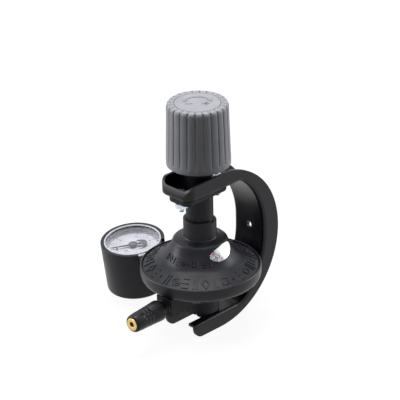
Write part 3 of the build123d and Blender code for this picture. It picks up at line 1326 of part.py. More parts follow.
with BuildPart() as pointer:
    with BuildSketch(gauge_plan.offset(pointer_foot)):
        with Locations(Rotation(0, 0, POINTER_REST)):
            Polygon(
                (0, POINTER_HUB_RADIUS / 3),
                (0, -POINTER_HUB_RADIUS / 3),
                (POINTER_LENGTH, 0),
                align=None,
            )
            with Locations((-POINTER_TAIL, 0)):
                Circle(POINTER_TAIL_RADIUS)
                with Locations((POINTER_BITE, 0)):
                    Circle(POINTER_CRESCENT, mode=Mode.SUBTRACT)
            Rectangle(
                POINTER_TAIL + POINTER_CRESCENT, POINTER_HUB_RADIUS / 2,
                align=(Align.MAX, Align.CENTER),
            )
        Circle(POINTER_HUB_RADIUS)
        Circle(ARBOR_RADIUS, mode=Mode.SUBTRACT)
    extrude(amount=POINTER_SHEET)
    with BuildSketch(gauge_plan.offset(pointer_foot + POINTER_SHEET)):
        Circle(POINTER_HUB_RADIUS)
    extrude(amount=POINTER_SHEET)
save(pointer, "pointer")
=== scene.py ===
import json
from math import cos, hypot, pi, radians, sin, tan

import bmesh
import bpy
from mathutils import Matrix, Vector, noise


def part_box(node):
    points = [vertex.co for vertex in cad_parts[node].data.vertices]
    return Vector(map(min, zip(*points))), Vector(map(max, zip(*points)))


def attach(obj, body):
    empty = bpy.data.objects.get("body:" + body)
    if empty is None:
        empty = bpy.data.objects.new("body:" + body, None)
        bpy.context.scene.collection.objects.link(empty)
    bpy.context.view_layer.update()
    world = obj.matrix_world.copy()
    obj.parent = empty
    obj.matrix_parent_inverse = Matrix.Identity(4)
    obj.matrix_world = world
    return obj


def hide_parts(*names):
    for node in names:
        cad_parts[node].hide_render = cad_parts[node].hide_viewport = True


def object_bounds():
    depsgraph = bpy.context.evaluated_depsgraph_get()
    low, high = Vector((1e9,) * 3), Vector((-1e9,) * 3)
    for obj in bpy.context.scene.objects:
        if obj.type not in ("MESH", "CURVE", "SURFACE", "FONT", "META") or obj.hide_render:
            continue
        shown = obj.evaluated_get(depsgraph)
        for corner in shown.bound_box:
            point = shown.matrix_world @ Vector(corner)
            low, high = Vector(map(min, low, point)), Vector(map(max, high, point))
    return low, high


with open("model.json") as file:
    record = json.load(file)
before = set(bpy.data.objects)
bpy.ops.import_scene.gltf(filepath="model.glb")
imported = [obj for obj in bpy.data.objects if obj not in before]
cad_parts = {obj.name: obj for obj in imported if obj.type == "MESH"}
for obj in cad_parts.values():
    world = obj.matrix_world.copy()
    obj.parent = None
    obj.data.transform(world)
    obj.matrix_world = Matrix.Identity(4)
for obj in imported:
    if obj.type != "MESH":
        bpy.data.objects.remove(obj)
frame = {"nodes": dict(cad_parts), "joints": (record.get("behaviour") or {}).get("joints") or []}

# --- Studio ---------------------------------------------------------------------------------------
# A plain pale table under a white sky, with a big soft lamp overhead and two softboxes
# beside the camera.  The empty file's own cube, lamp and camera go first.
for spare in ("Cube", "Light", "Camera"):
    if spare in bpy.data.objects:
        bpy.data.objects.remove(bpy.data.objects[spare])
cad_box = [list(corner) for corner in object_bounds()]

MM = 0.001


def linear(colour):
    """An sRGB hex colour as the linear values that a shader reads."""
    shares = [int(colour[start:start + 2], 16) / 255 for start in (0, 2, 4)]
    return [s / 12.92 if s <= 0.04045 else ((s + 0.055) / 1.055) ** 2.4 for s in shares] + [1]


def add(owner, kind, inputs={}, **settings):
    """A shader node with its settings, its inputs each set to a value or fed by a socket."""
    node = owner.node_tree.nodes.new("ShaderNode" + kind)
    for name, value in settings.items():
        setattr(node, name, value)
    for name, value in inputs.items():
        if isinstance(value, bpy.types.NodeSocket):
            owner.node_tree.links.new(value, node.inputs[name])
        else:
            node.inputs[name].default_value = value
    return node


def blank(name, owners):
    """A new material or world with an empty node tree."""
    owner = owners.new(name)
    owner.use_nodes = True
    owner.node_tree.nodes.clear()
    return owner


SKY_FILL = 0.06         # light that the room itself gives the object
TABLE_SHADOW = 0.10     # how much of the table's own shading shows under its white
TABLE_GLOW = 1.03       # a little over white, so that the table's far part is plain white
TABLE_SIZE = 2.4        # metres

sky = blank("white_room", bpy.data.worlds)
rays = add(sky, "LightPath")
seen = add(sky, "Math", {0: rays.outputs["Is Camera Ray"], 1: rays.outputs["Is Glossy Ray"]})
seen = add(
    sky, "Math", {0: seen.outputs[0], 1: rays.outputs["Is Transmission Ray"]}, use_clamp=True,
)
strength = add(sky, "MapRange", {"Value": seen.outputs[0], "To Min": SKY_FILL, "To Max": 1})
white = add(sky, "Background", {"Color": linear("FFFFFF"), "Strength": strength.outputs[0]})
add(sky, "OutputWorld", {"Surface": white.outputs[0]})
bpy.context.scene.world = sky
bpy.context.scene.view_settings.view_transform = "Standard"

pale_laminate = blank("pale_laminate", bpy.data.materials)
rays = add(pale_laminate, "LightPath")
seen = add(
    pale_laminate, "Math", {0: rays.outputs["Is Camera Ray"], 1: rays.outputs["Is Glossy Ray"]},
)
seen = add(
    pale_laminate, "Math", {0: seen.outputs[0], 1: rays.outputs["Is Transmission Ray"]},
    use_clamp=True,
)
share = add(pale_laminate, "MapRange", {"Value": seen.outputs[0], "To Max": 1 - TABLE_SHADOW})
tone = add(
    pale_laminate, "Mix", {0: seen.outputs[0], 6: linear("585858"), 7: linear("E8E8E8")},
    data_type="RGBA",
)
matt = add(pale_laminate, "BsdfDiffuse", {"Color": tone.outputs[2]})
bright = add(pale_laminate, "Emission", {"Color": linear("FFFFFF"), "Strength": TABLE_GLOW})
both = add(
    pale_laminate, "MixShader", {0: share.outputs[0], 1: matt.outputs[0], 2: bright.outputs[0]},
)
add(pale_laminate, "OutputMaterial", {"Surface": both.outputs[0]})

table_shape = bmesh.new()
bmesh.ops.create_grid(
    table_shape, x_segments=1, y_segments=1, size=TABLE_SIZE,
    matrix=Matrix.Translation((0, 0, cad_box[0][2])),
)
table_mesh = bpy.data.meshes.new("table")
table_shape.to_mesh(table_mesh)
table_mesh.materials.append(pale_laminate)
table = bpy.data.objects.new("table", table_mesh)
bpy.context.scene.collection.objects.link(table)

# --- Camera and lamps -----------------------------------------------------------------------------
# The camera looks down from the front left of the regulator, a little rolled, through a long
# lens.  The lamps stand round its line of sight, so that they keep their places beside it.
CAMERA_TURN = radians(-47.5)
CAMERA_RISE = radians(26.03)
CAMERA_ROLL = radians(-1.16)
CAMERA_DISTANCE = 1.5       # metres, as are the three below
AIM_LEVEL = 0.0305
AIM_RIGHT = 0.0004
AIM_UP = 0.0396
CAMERA_LENS = 216.35        # millimetres, as the film's width is
CAMERA_FILM = 36

back = Vector((
    sin(CAMERA_TURN) * cos(CAMERA_RISE), -cos(CAMERA_TURN) * cos(CAMERA_RISE), sin(CAMERA_RISE),
))
right = Vector((cos(CAMERA_TURN), sin(CAMERA_TURN), 0))
up = back.cross(right)
aim = Vector((0, 0, AIM_LEVEL)) + right * AIM_RIGHT + up * AIM_UP
optics = bpy.data.cameras.new("camera")
optics.lens = CAMERA_LENS
optics.sensor_width = CAMERA_FILM
camera = bpy.data.objects.new("camera", optics)
camera.matrix_world = Matrix.Translation(aim + back * CAMERA_DISTANCE) @ Matrix((
    right * cos(CAMERA_ROLL) + up * sin(CAMERA_ROLL),
    up * cos(CAMERA_ROLL) - right * sin(CAMERA_ROLL),
    back,
)).transposed().to_4x4()
bpy.context.scene.collection.objects.link(camera)
bpy.context.scene.camera = camera

level_back = Vector((back.x, back.y, 0)).normalized()
lamps = {
    # name: (place from the aim, width, height, watts)
    "top_softbox": (level_back * -0.10 - right * 0.05 + Vector((0, 0, 1.0)), 0.8, 0.8, 14.5),
    "left_softbox": (level_back * -0.15 - right * 0.95 + Vector((0, 0, 0.30)), 0.35, 0.9, 8.0),
    "right_softbox": (level_back * -0.25 + right * 0.95 + Vector((0, 0, 0.30)), 0.35, 0.9, 7.0),
    "front_fill": (level_back * 1.3 - right * 0.3 + Vector((0, 0, 0.9)), 0.5, 0.5, 0.5),
}
for name, (place, width, height, watts) in lamps.items():
    lamp = bpy.data.lights.new(name, "AREA")
    lamp.shape = "RECTANGLE"
    lamp.size = width
    lamp.size_y = height
    lamp.energy = watts
    stand = bpy.data.objects.new(name, lamp)
    facing = place.to_track_quat("Z", "Y").to_matrix().to_4x4()
    stand.matrix_world = Matrix.Translation(aim + place) @ facing
    bpy.context.scene.collection.objects.link(stand)

# --- Clamp arm ------------------------------------------------------------------------------------
# One steel channel, pressed, folded and bent into a C, with a fork at its foot and a tray at its
# top.  It is stove enamelled black: smooth, half glossy, with a faint orange-peel ripple.


def finish(
    name, dark, light, patch, rough, grain, depth, soft_edge=0.0, mirror=0.5, **constants
):
    """A surface whose colour and roughness drift in patches, with a fine grain on it.

    Sizes are in millimetres: the patches, the grain and its depth, and the edge's rounding.
    The mirror share scales how much a coat reflects straight on."""
    material = blank(name, bpy.data.materials)
    place = add(material, "TexCoord").outputs["Object"]
    patches = add(material, "TexNoise", {"Vector": place, "Scale": 1 / (patch * MM), "Detail": 3})
    drift = add(
        material, "MapRange", {"Value": patches.outputs[0], "From Min": 0.3, "From Max": 0.7},
    )
    colour = add(
        material, "Mix", {0: drift.outputs[0], 6: linear(dark), 7: linear(light)},
        data_type="RGBA",
    )
    gloss = add(
        material, "MapRange", {"Value": drift.outputs[0], "To Min": rough[0], "To Max": rough[1]},
    )
    specks = add(material, "TexNoise", {"Vector": place, "Scale": 1 / (grain * MM), "Detail": 2})
    bump = add(
        material, "Bump", {"Height": specks.outputs[0], "Distance": depth * MM, "Strength": 1},
    )
    if soft_edge:
        edge = add(material, "Bevel", {"Radius": soft_edge * MM}, samples=6)
        material.node_tree.links.new(edge.outputs[0], bump.inputs["Normal"])
    shader = add(material, "BsdfPrincipled", {
        "Base Color": colour.outputs[2], "Roughness": gloss.outputs[0], "Normal": bump.outputs[0],
        "Specular IOR Level": mirror, **constants,
    })
    add(material, "OutputMaterial", {"Surface": shader.outputs[0]})
    return material


def dress(material, *names):
    """Give CAD nodes a material through their objects' own slots."""
    for name in names:
        for slot in frame["nodes"][name].material_slots:
            slot.material = material


arm_enamel = finish(
    "black_stove_enamel", "0D0E13", "12131A", patch=18, rough=(0.24, 0.34),
    grain=1.6, depth=0.012, soft_edge=0.35, mirror=0.30, IOR=1.45,
)
dress(arm_enamel, "clamp_arm")

# --- Neck bridge and spindle nut ------------------------------------------------------------------
# A zinc die casting: the plate under the tray, the smooth neck that the housing's collar slides
# on, and the boss round the nut.  It is powder coated satin black over a slightly grainy skin.
casting_coat = finish(
    "black_powder_coat", "101116", "16171E", patch=9, rough=(0.38, 0.48),
    grain=0.7, depth=0.02, soft_edge=0.3, mirror=0.24, IOR=1.45,
)
dress(casting_coat, "neck_bridge")

# The nut is turned brass, pressed into the boss; fine rings from the tool catch the light.


WAVES_PER_METRE = 0.31      # a wave texture's scale for one band a metre
TOOL_MARK = 0.008           # depth of the rings, in millimetres


def turned_metal(name, dark, light, rough, axis, centre=(0, 0, 0), ring=0.35):
    """A lathe-turned metal: rings of tool marks, square to the axis the piece turned on.

    The ring pitch is in millimetres, and the pattern's middle is in metres."""
    material = blank(name, bpy.data.materials)
    place = add(material, "TexCoord").outputs["Object"]
    middle = [-c for c in centre]
    place = add(material, "Mapping", {"Vector": place, "Location": middle}).outputs[0]
    rings = add(
        material, "TexWave",
        {"Vector": place, "Scale": WAVES_PER_METRE / (ring * MM), "Distortion": 0.4, "Detail": 1.0},
        wave_type="BANDS", bands_direction=axis,
    )
    blots = add(material, "TexNoise", {"Vector": place, "Scale": 1 / (2.5 * MM), "Detail": 3})
    colour = add(
        material, "Mix", {0: blots.outputs[0], 6: linear(dark), 7: linear(light)}, data_type="RGBA",
    )
    gloss = add(
        material, "MapRange", {"Value": blots.outputs[0], "To Min": rough[0], "To Max": rough[1]},
    )
    bump = add(
        material, "Bump", {"Height": rings.outputs[1], "Distance": TOOL_MARK * MM, "Strength": 1},
    )
    shader = add(material, "BsdfPrincipled", {
        "Base Color": colour.outputs[2], "Roughness": gloss.outputs[0], "Normal": bump.outputs[0],
        "Metallic": 1,
    })
    add(material, "OutputMaterial", {"Surface": shader.outputs[0]})
    return material


bright_brass = turned_metal("turned_brass", "C9A45A", "E2C47E", (0.24, 0.34), "Z")
dress(bright_brass, "spindle_nut")

# --- Bridge screws and nuts -----------------------------------------------------------------------
# Two cross-recess pan-head screws hold the bridge under the tray, with hexagon nuts below.
# They are steel with a bright, slightly bluish zinc plate; the heads are cold-formed domes.
SCREW_HEAD = 3.6
SCREW_HEAD_RISE = 2.3
SCREW_SHANK = 2.0
SCREW_THREAD = 0.7
THREAD_DEPTH = 0.28
SCREW_PITCH = 31.5
RECESS_WIDTH = 0.9
RECESS_REACH = 2.1
RECESS_DEPTH = 1.4
RECESS_TURN = 20            # degrees
ARM_TURN = radians(-2.5)    # of the bridge and the arm, against the hose tail


def lathe(outline, steps=96, closed=True):
    """A mesh spun about Z from (radius, height, corner rounding) points, in millimetres."""
    shape = bmesh.new()
    corners = [shape.verts.new((radius * MM, 0, height * MM)) for radius, height, _ in outline]
    for first, second in zip(corners, corners[1:]):
        shape.edges.new((first, second))
    if closed:
        shape.edges.new((corners[-1], corners[0]))
    for corner, (_, _, rounding) in zip(corners, outline):
        if rounding:
            bmesh.ops.bevel(
                shape, geom=[corner], offset=rounding * MM, segments=5, profile=0.5,
                affect="VERTICES", material=-1,
            )
    bmesh.ops.spin(
        shape, geom=shape.verts[:] + shape.edges[:], axis=(0, 0, 1), angle=2 * pi,
        steps=steps, use_merge=True,
    )
    bmesh.ops.remove_doubles(shape, verts=shape.verts[:], dist=MM / 1000)
    bmesh.ops.recalc_face_normals(shape, faces=shape.faces[:])
    return shape


def join(shape, part):
    """Add a mesh to another one, and use it up."""
    mesh = bpy.data.meshes.new("part")
    part.to_mesh(mesh)
    part.free()
    shape.from_mesh(mesh)
    bpy.data.meshes.remove(mesh)


def piece(shape, name, material, sharp=35):
    """A finished object from a bmesh, smooth but for edges over the sharp angle in degrees."""
    mesh = bpy.data.meshes.new(name)
    shape.to_mesh(mesh)
    shape.free()
    mesh.polygons.foreach_set("use_smooth", [True] * len(mesh.polygons))
    mesh.set_sharp_from_angle(angle=radians(sharp))
    mesh.materials.append(material)
    made = bpy.data.objects.new(name, mesh)
    bpy.context.scene.collection.objects.link(made)
    return made


def cut_away(shape, *tools):
    """The shape with the tools' volumes cut out of it; all of them are used up."""
    halves = []
    for solid in (shape, *tools):
        mesh = bpy.data.meshes.new("cutting")
        solid.to_mesh(mesh)
        solid.free()
        halves.append(bpy.data.objects.new("cutting", mesh))
        bpy.context.scene.collection.objects.link(halves[-1])
    for tool in halves[1:]:
        cut = halves[0].modifiers.new("cut", "BOOLEAN")
        cut.object = tool
        cut.operation = "DIFFERENCE"
        cut.solver = "EXACT"
    bpy.context.view_layer.update()
    result = bmesh.new()
    result.from_object(halves[0], bpy.context.evaluated_depsgraph_get())
    for half in halves:
        bpy.data.objects.remove(half)
    bmesh.ops.dissolve_degenerate(result, edges=result.edges[:], dist=MM / 1000)
    return result


def block(size, centre, turn=0.0):
    """A box in millimetres, turned about its own middle by an angle in radians."""
    shape = bmesh.new()
    place = Matrix.Translation([c * MM for c in centre]) @ Matrix.Rotation(turn, 4, "Z")
    size = Matrix.Diagonal([s * MM for s in size] + [1])
    bmesh.ops.create_cube(shape, size=1, matrix=place @ size)
    return shape


zinc_plate = finish(
    "bright_zinc_plate", "B9C4D2", "DCE6F0", patch=1.5, rough=(0.18, 0.32),
    grain=0.3, depth=0.006, Metallic=1,
)
screws_low, screws_high = [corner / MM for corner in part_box("bridge_screws")]
nuts_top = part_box("bridge_nuts")[1].z / MM
head_foot = screws_high.z - SCREW_HEAD_RISE
shank_end = screws_low.z
thread = []
level = shank_end + 0.5
while level < nuts_top + 3:
    thread += [
        (SCREW_SHANK - THREAD_DEPTH, level, 0), (SCREW_SHANK, level + SCREW_THREAD / 2, 0),
    ]
    level += SCREW_THREAD
bridge_screws = bmesh.new()
for side in (-1, 1):
    screw = lathe(
        [(0, shank_end, 0), (SCREW_SHANK - 0.5, shank_end, 0)] + thread + [
            (SCREW_SHANK, level, 0), (SCREW_SHANK, head_foot, 0), (SCREW_HEAD, head_foot, 0.2),
            (SCREW_HEAD, head_foot + 1.1, 0.7), (SCREW_HEAD * 0.72, screws_high.z - 0.2, 0.8),
            (0, screws_high.z, 0),
        ], steps=40, closed=False,
    )
    slots = [
        block((2 * RECESS_REACH, RECESS_WIDTH, 2 * RECESS_DEPTH), (0, 0, screws_high.z), turn)
        for turn in (radians(RECESS_TURN * side), radians(90 + RECESS_TURN * side))
    ]
    screw = cut_away(screw, *slots)
    bmesh.ops.translate(screw, verts=screw.verts[:], vec=(side * SCREW_PITCH / 2 * MM, 0, 0))
    bmesh.ops.rotate(screw, verts=screw.verts[:], matrix=Matrix.Rotation(ARM_TURN, 3, "Z"))
    join(bridge_screws, screw)
screws = piece(bridge_screws, "pan_head_screws", zinc_plate, sharp=25)
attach(screws, "clamp")
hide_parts("bridge_screws")
dress(zinc_plate, "bridge_nuts")

# --- Spindle, thrust washer and circlip -----------------------------------------------------------
# The spindle is turned steel with a coarse thread, lightly oiled and darker in its grooves.
# It pushes on a brass washer in the housing's well, and a spring-steel circlip holds it there.
oiled_steel = turned_metal("turned_steel", "6E7073", "A3A6AA", (0.28, 0.42), "Z", ring=0.5)
spring_steel = finish(
    "blued_spring_steel", "3B3D42", "55585E", patch=3, rough=(0.3, 0.45),
    grain=0.3, depth=0.004, Metallic=1,
)
dress(oiled_steel, "spindle", "knob_washer")
dress(spring_steel, "spindle_circlip")
dress(bright_brass, "thrust_washer")
dress(zinc_plate, "knob_screw")

# --- Hand knob ------------------------------------------------------------------------------------
# A moulded grey nylon cap nut for the hand: 24 slightly convex ribs parted by fine V grooves,
# which stop above a plain band at the rim and deepen over the crown into scallops.  It is
# hollow, with a hub on the spindle's flats.
RIBS = 24
STEPS_PER_RIB = 20
RIB_BULGE = 0.20
CROWN_BULGE = 0.45          # more than on the sides, so that the crown's edge is scalloped
GROOVE_DEPTH = 0.42
CROWN_GROOVE = 0.80
GROOVE_SHARE = 0.10         # of a rib's width, each side of the groove's bottom
CROWN_REACH = 5.0           # how far below the crown the grooves begin to deepen
BAND = 3.5                  # the plain band at the rim
BAND_FADE = 0.6
CROWN_ROUND = 2.4
CROWN_FADE = 1.6            # over which the grooves run out on the crown
CROWN_EDGE = 14.6           # where they end
KNOB_TAPER = 1.0
KNOB_WALL = 2.2
HUB = 7.5
HUB_RISE = 4.0
HUB_BORE = 4.02
SCREW_HOLE = 2.1

knob_low, knob_high = [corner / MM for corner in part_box("knob_shell")]
cap_low, cap_high = [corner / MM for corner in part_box("knob_cap")]
washer_low, washer_high = [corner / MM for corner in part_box("knob_washer")]
spindle_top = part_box("spindle")[1].z / MM
knob_radius = knob_high.x
side_radius = knob_radius - KNOB_TAPER
crown_foot = knob_high.z - CROWN_ROUND
cap_socket = cap_high.x + 0.25
roof = cap_low.z - KNOB_WALL
washer_socket = washer_high.x + 0.1
side_levels = 5
knob_outline = [
    (knob_radius - KNOB_WALL, knob_low.z, 0.3), (knob_radius, knob_low.z, 0.5),
    (knob_radius, knob_low.z + BAND - 0.35, 0), (knob_radius, knob_low.z + BAND, 0),
    (knob_radius, knob_low.z + BAND + BAND_FADE, 0),
]
for step in range(1, side_levels):
    share = step / side_levels
    knob_outline.append((
        knob_radius - share * (knob_radius - side_radius),
        knob_low.z + BAND + share * (crown_foot - knob_low.z - BAND), 0,
    ))
knob_outline += [
    (side_radius + 0.05, knob_high.z, CROWN_ROUND),
    *[(reach, knob_high.z, 0) for reach in (17.6, 16.4, 15.2)],
    (cap_socket, knob_high.z, 0.35), (cap_socket, cap_low.z, 0), (washer_socket, cap_low.z, 0),
    (washer_socket, washer_low.z, 0), (SCREW_HOLE, washer_low.z, 0), (SCREW_HOLE, spindle_top, 0),
    (HUB_BORE, spindle_top, 0), (HUB_BORE, knob_low.z + HUB_RISE, 0.2),
    (HUB, knob_low.z + HUB_RISE, 0.4),
    (HUB, roof, 1.0), (side_radius - KNOB_WALL, roof, 2.0),
]
knob = lathe(knob_outline, steps=RIBS * STEPS_PER_RIB)
knob.normal_update()
for vert in knob.verts:
    x, y, z = vert.co / MM
    reach = hypot(x, y)
    outside = reach > knob_radius - KNOB_WALL + 0.3 or z > knob_high.z - 0.01
    if not outside or reach < CROWN_EDGE or z < knob_low.z + BAND - 0.1:
        continue
    turn = Vector((x, y)).angle_signed(Vector((1, 0))) / (2 * pi) * RIBS
    across = 2 * abs(turn - round(turn))            # 0 on the rib's ridge, 1 in the groove
    groove = max(0, (across - 1 + 2 * GROOVE_SHARE) / (2 * GROOVE_SHARE))
    crown = max(0, 1 - (knob_high.z - z) / CROWN_REACH)
    drop = (RIB_BULGE + crown * (CROWN_BULGE - RIB_BULGE)) * across ** 2
    drop += (GROOVE_DEPTH + crown * (CROWN_GROOVE - GROOVE_DEPTH)) * groove
    fade = min(1, (z - knob_low.z - BAND + 0.1) / BAND_FADE)
    fade *= min(1, (reach - CROWN_EDGE) / CROWN_FADE)
    vert.co -= vert.normal * drop * fade * MM
knob_nylon = finish(
    "grey_glass_filled_nylon", "8A8B90", "94959A", patch=14, rough=(0.38, 0.50),
    grain=0.55, depth=0.012, soft_edge=0.15, mirror=0.22, IOR=1.45,
)
knob_grip = piece(knob, "knob_grip", knob_nylon, sharp=40)
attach(knob_grip, "knob")
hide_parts("knob_shell")

# --- Knob cap -------------------------------------------------------------------------------------
# A thin disc of the same nylon, snapped into the crown over the screw.  A curved arrow with
# two heads and plus and minus signs, moulded a little proud, show which way does what.
CAP_RIM = 0.2               # the cap's middle lies this much below its rim
SIGN_RISE = 0.22
ARROW_RADIUS = 8.6
ARROW_WIDTH = 1.5
ARROW_HALF = 62             # degrees each side of the arrow's middle
ARROW_HEAD = 3.4
ARROW_BARB = 1.9
SIGN_PLACE = 1.5
SIGN_SIZE = 4.6
SIGN_WIDTH = 1.4
SIGN_REACH = 5.2
SIGN_TURN = radians(-47.5)  # of arrow and signs about the knob's axis

cap_reach = cap_high.x
sign_level = cap_high.z - CAP_RIM
cap = lathe([
    (0, cap_low.z, 0), (cap_reach, cap_low.z, 0), (cap_reach, cap_high.z, 0.3),
    (cap_reach - 1.0, cap_high.z, 0.2), (cap_reach - 1.4, sign_level, 0.2), (0, sign_level, 0),
], steps=96, closed=False)
cap_nylon = finish(
    "grey_nylon_cap", "8C8D93", "96979D", patch=10, rough=(0.42, 0.52),
    grain=0.5, depth=0.01, mirror=0.3, IOR=1.45,
)
cap_disc = piece(cap, "knob_cap_disc", cap_nylon)
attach(cap_disc, "knob")
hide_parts("knob_cap")


def outline_plate(shape, points, low, high):
    """Add a flat plate to a mesh: an outline of XY points between two levels, in millimetres."""
    ring = [shape.verts.new((x * MM, y * MM, low * MM)) for x, y in points]
    base = shape.faces.new(ring)
    raised = bmesh.ops.extrude_face_region(shape, geom=[base])["geom"]
    lifted = [item for item in raised if isinstance(item, bmesh.types.BMVert)]
    bmesh.ops.translate(shape, verts=lifted, vec=(0, 0, (high - low) * MM))


signs = bmesh.new()
arrow_turns = [radians(90 - ARROW_HALF + 2 * ARROW_HALF * step / 24) for step in range(25)]
inner, outer = ARROW_RADIUS - ARROW_WIDTH / 2, ARROW_RADIUS + ARROW_WIDTH / 2
outline_plate(
    signs,
    [(outer * cos(t), outer * sin(t)) for t in arrow_turns]
    + [(inner * cos(t), inner * sin(t)) for t in reversed(arrow_turns)],
    sign_level, sign_level + SIGN_RISE,
)
for side, end in ((-1, arrow_turns[0]), (1, arrow_turns[-1])):
    tip = end + side * ARROW_HEAD / ARROW_RADIUS
    outline_plate(
        signs,
        [(reach * cos(turn), reach * sin(turn)) for reach, turn in (
            (ARROW_RADIUS + ARROW_BARB, end), (ARROW_RADIUS, tip), (ARROW_RADIUS - ARROW_BARB, end),
        )],
        sign_level, sign_level + SIGN_RISE,
    )
for middle, arms in ((-SIGN_REACH, (0,)), (SIGN_REACH, (0, pi / 2))):
    for arm in arms:
        bar = (SIGN_SIZE, SIGN_WIDTH, 2 * SIGN_RISE)
        join(signs, block(bar, (middle, -SIGN_PLACE, sign_level), arm))
bmesh.ops.rotate(signs, verts=signs.verts[:], matrix=Matrix.Rotation(SIGN_TURN, 3, "Z"))
bmesh.ops.recalc_face_normals(signs, faces=signs.faces[:])
# The signs are drawn a little darker than the cap: painted shade, for the shade along their raised
# strokes.
sign_nylon = finish(
    "worn_sign_nylon", "7B7E84", "85888E", patch=4, rough=(0.5, 0.6),
    grain=0.4, depth=0.008, IOR=1.45,
)
cap_signs = piece(signs, "knob_cap_signs", sign_nylon)
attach(cap_signs, "knob")

# --- Bonnet ---------------------------------------------------------------------------------------
# The upper half of the diaphragm housing, a die casting: a collar round the neck, a hollow-sided
# cone and a sloping ring with cast marks.  Powder coated like the bridge, edges softened by it.
CONE_TOP = 16.9
CONE_TOP_LEVEL = 49.3
CONE_FOOT = 25.0
CONE_FOOT_LEVEL = 36.4
CONE_SAG = 1.1              # how far the cone is hollow, outwards and downwards
CONE_DIP = 0.4
RING_EDGE = 36.8
RING_EDGE_LEVEL = 30.2
LIP = 36.9                  # the crimp band's inner edge
COLLAR_BORE = 8.7
COLLAR_RADIUS = 10.4
COLLAR_STEP = 1.5           # the collar's rim is lower on its right half
STEM_BORE = 4.05

bonnet_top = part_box("bonnet")[1].z / MM
cone_line = []
for step in range(1, 8):
    share = step / 8
    cone_line.append((
        CONE_TOP + share * (CONE_FOOT - CONE_TOP) - 4 * CONE_SAG * share * (1 - share),
        CONE_TOP_LEVEL + share * (CONE_FOOT_LEVEL - CONE_TOP_LEVEL)
        - 4 * CONE_DIP * share * (1 - share), 0,
    ))
bonnet = lathe([
    (COLLAR_BORE, bonnet_top, 0.15), (COLLAR_RADIUS, bonnet_top, 0.35),
    (COLLAR_RADIUS, 52.4, 0), (COLLAR_RADIUS + 0.2, 50.6, 0.7),
    (CONE_TOP, CONE_TOP_LEVEL + 0.2, 1.9),
    *cone_line, (CONE_FOOT, CONE_FOOT_LEVEL, 1.4), (RING_EDGE, RING_EDGE_LEVEL, 0.3),
    (RING_EDGE, 28.0, 0), (33.4, 27.2, 0), (31.0, 28.6, 0), (23.8, 33.6, 0), (14.8, 46.9, 0),
    (COLLAR_RADIUS, 46.9, 0), (COLLAR_RADIUS, 32.0, 0), (STEM_BORE, 32.0, 0),
    (STEM_BORE, 34.5, 0), (COLLAR_BORE, 34.5, 0),
], steps=144)
for vert in bonnet.verts:
    if vert.co.z > (bonnet_top - 0.6) * MM and vert.co.x > 0:
        vert.co.z -= COLLAR_STEP * MM
cast_coat = finish(
    "cast_black_powder_coat", "15161C", "1D1E26", patch=7, rough=(0.34, 0.44),
    grain=0.55, depth=0.028, mirror=0.24, IOR=1.48,
)
bonnet_shell = piece(bonnet, "bonnet_shell", cast_coat, sharp=50)
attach(bonnet_shell, "regulator")
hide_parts("bonnet")

# --- Cast marks -----------------------------------------------------------------------------------
# Plain foundry marks stand proud of the bonnet: bars, rings, dots and diamonds in a row round
# the sloping ring, and a smaller row round the cone's left.  They are part of the casting.
MARK_RISE = 0.5
STROKE = 0.95


def stroke(shape, start, end, width):
    """A straight raised stroke between two points of a mark, with softened long edges."""
    start, end = Vector(start), Vector(end)
    run = end - start
    bar = bmesh.new()
    place = Matrix.Translation(((start.x + end.x) / 2, (start.y + end.y) / 2, 0))
    turn = Matrix.Rotation(Vector((1, 0)).angle_signed(run, 0) * -1, 4, "Z")
    size = Matrix.Diagonal((run.length + width, width, 2 * MARK_RISE, 1))
    bmesh.ops.create_cube(bar, size=1, matrix=place @ turn @ size)
    bmesh.ops.bevel(
        bar, geom=bar.edges[:], offset=width * 0.22, segments=1, profile=0.5,
        affect="EDGES", material=-1,
    )
    join(shape, bar)


def ring_mark(shape, centre, radius, width):
    """A raised ring as a round of short strokes."""
    turns = [2 * pi * step / 12 for step in range(12)]
    corners = [(centre[0] + radius * cos(t), centre[1] + radius * sin(t)) for t in turns]
    for first, second in zip(corners, corners[1:] + corners[:1]):
        stroke(shape, first, second, width)


def mark(kind, height, width):
    """One mark lying in the XY plane, its foot towards -Y, in millimetres."""
    shape = bmesh.new()
    half = height / 2
    if kind == "bar":
        stroke(shape, (0, -half), (0, half), width)
    elif kind == "pair":
        for side in (-1, 1):
            stroke(shape, (side * height * 0.16, -half), (side * height * 0.16, half), width)
    elif kind == "square":
        across, along = height * 0.3, half * 0.7
        for side in (-1, 1):
            stroke(shape, (side * across, -along), (side * across, along), width)
            stroke(shape, (-across, side * along), (across, side * along), width)
    elif kind == "diamond":
        for side in (-1, 1):
            for end in (-1, 1):
                stroke(shape, (side * height * 0.34, 0), (0, end * half), width)
    elif kind == "steps":
        for share in (-1, 0, 1):
            stroke(shape, (-height * 0.25, share * half), (height * 0.25, share * half), width)
    elif kind == "ring":
        ring_mark(shape, (0, 0), height * 0.32, width)
    elif kind == "target":
        ring_mark(shape, (0, 0), height * 0.4, width)
        ring_mark(shape, (0, 0), height * 0.14, width)
    elif kind == "dot":
        ring_mark(shape, (0, 0), width * 0.4, width)
    return shape


def lay_marks(shape, kinds, start, pitch, radius, level, slope, height, width):
    """A row of marks laid round a cone: start and pitch in degrees, the middle line's radius
    and level, and the slope of the surface down from level in degrees."""
    down = radians(slope)
    for count, kind in enumerate(kinds):
        flat = mark(kind, height, width)
        middle = radians(start + count * pitch)
        for vert in flat.verts:
            across, along, rise = vert.co
            reach = radius - along * cos(down) + rise * sin(down)
            turn = middle + across / radius
            vert.co = Vector((
                reach * cos(turn), reach * sin(turn), level + along * sin(down) + rise * cos(down),
            )) * MM
        join(shape, flat)


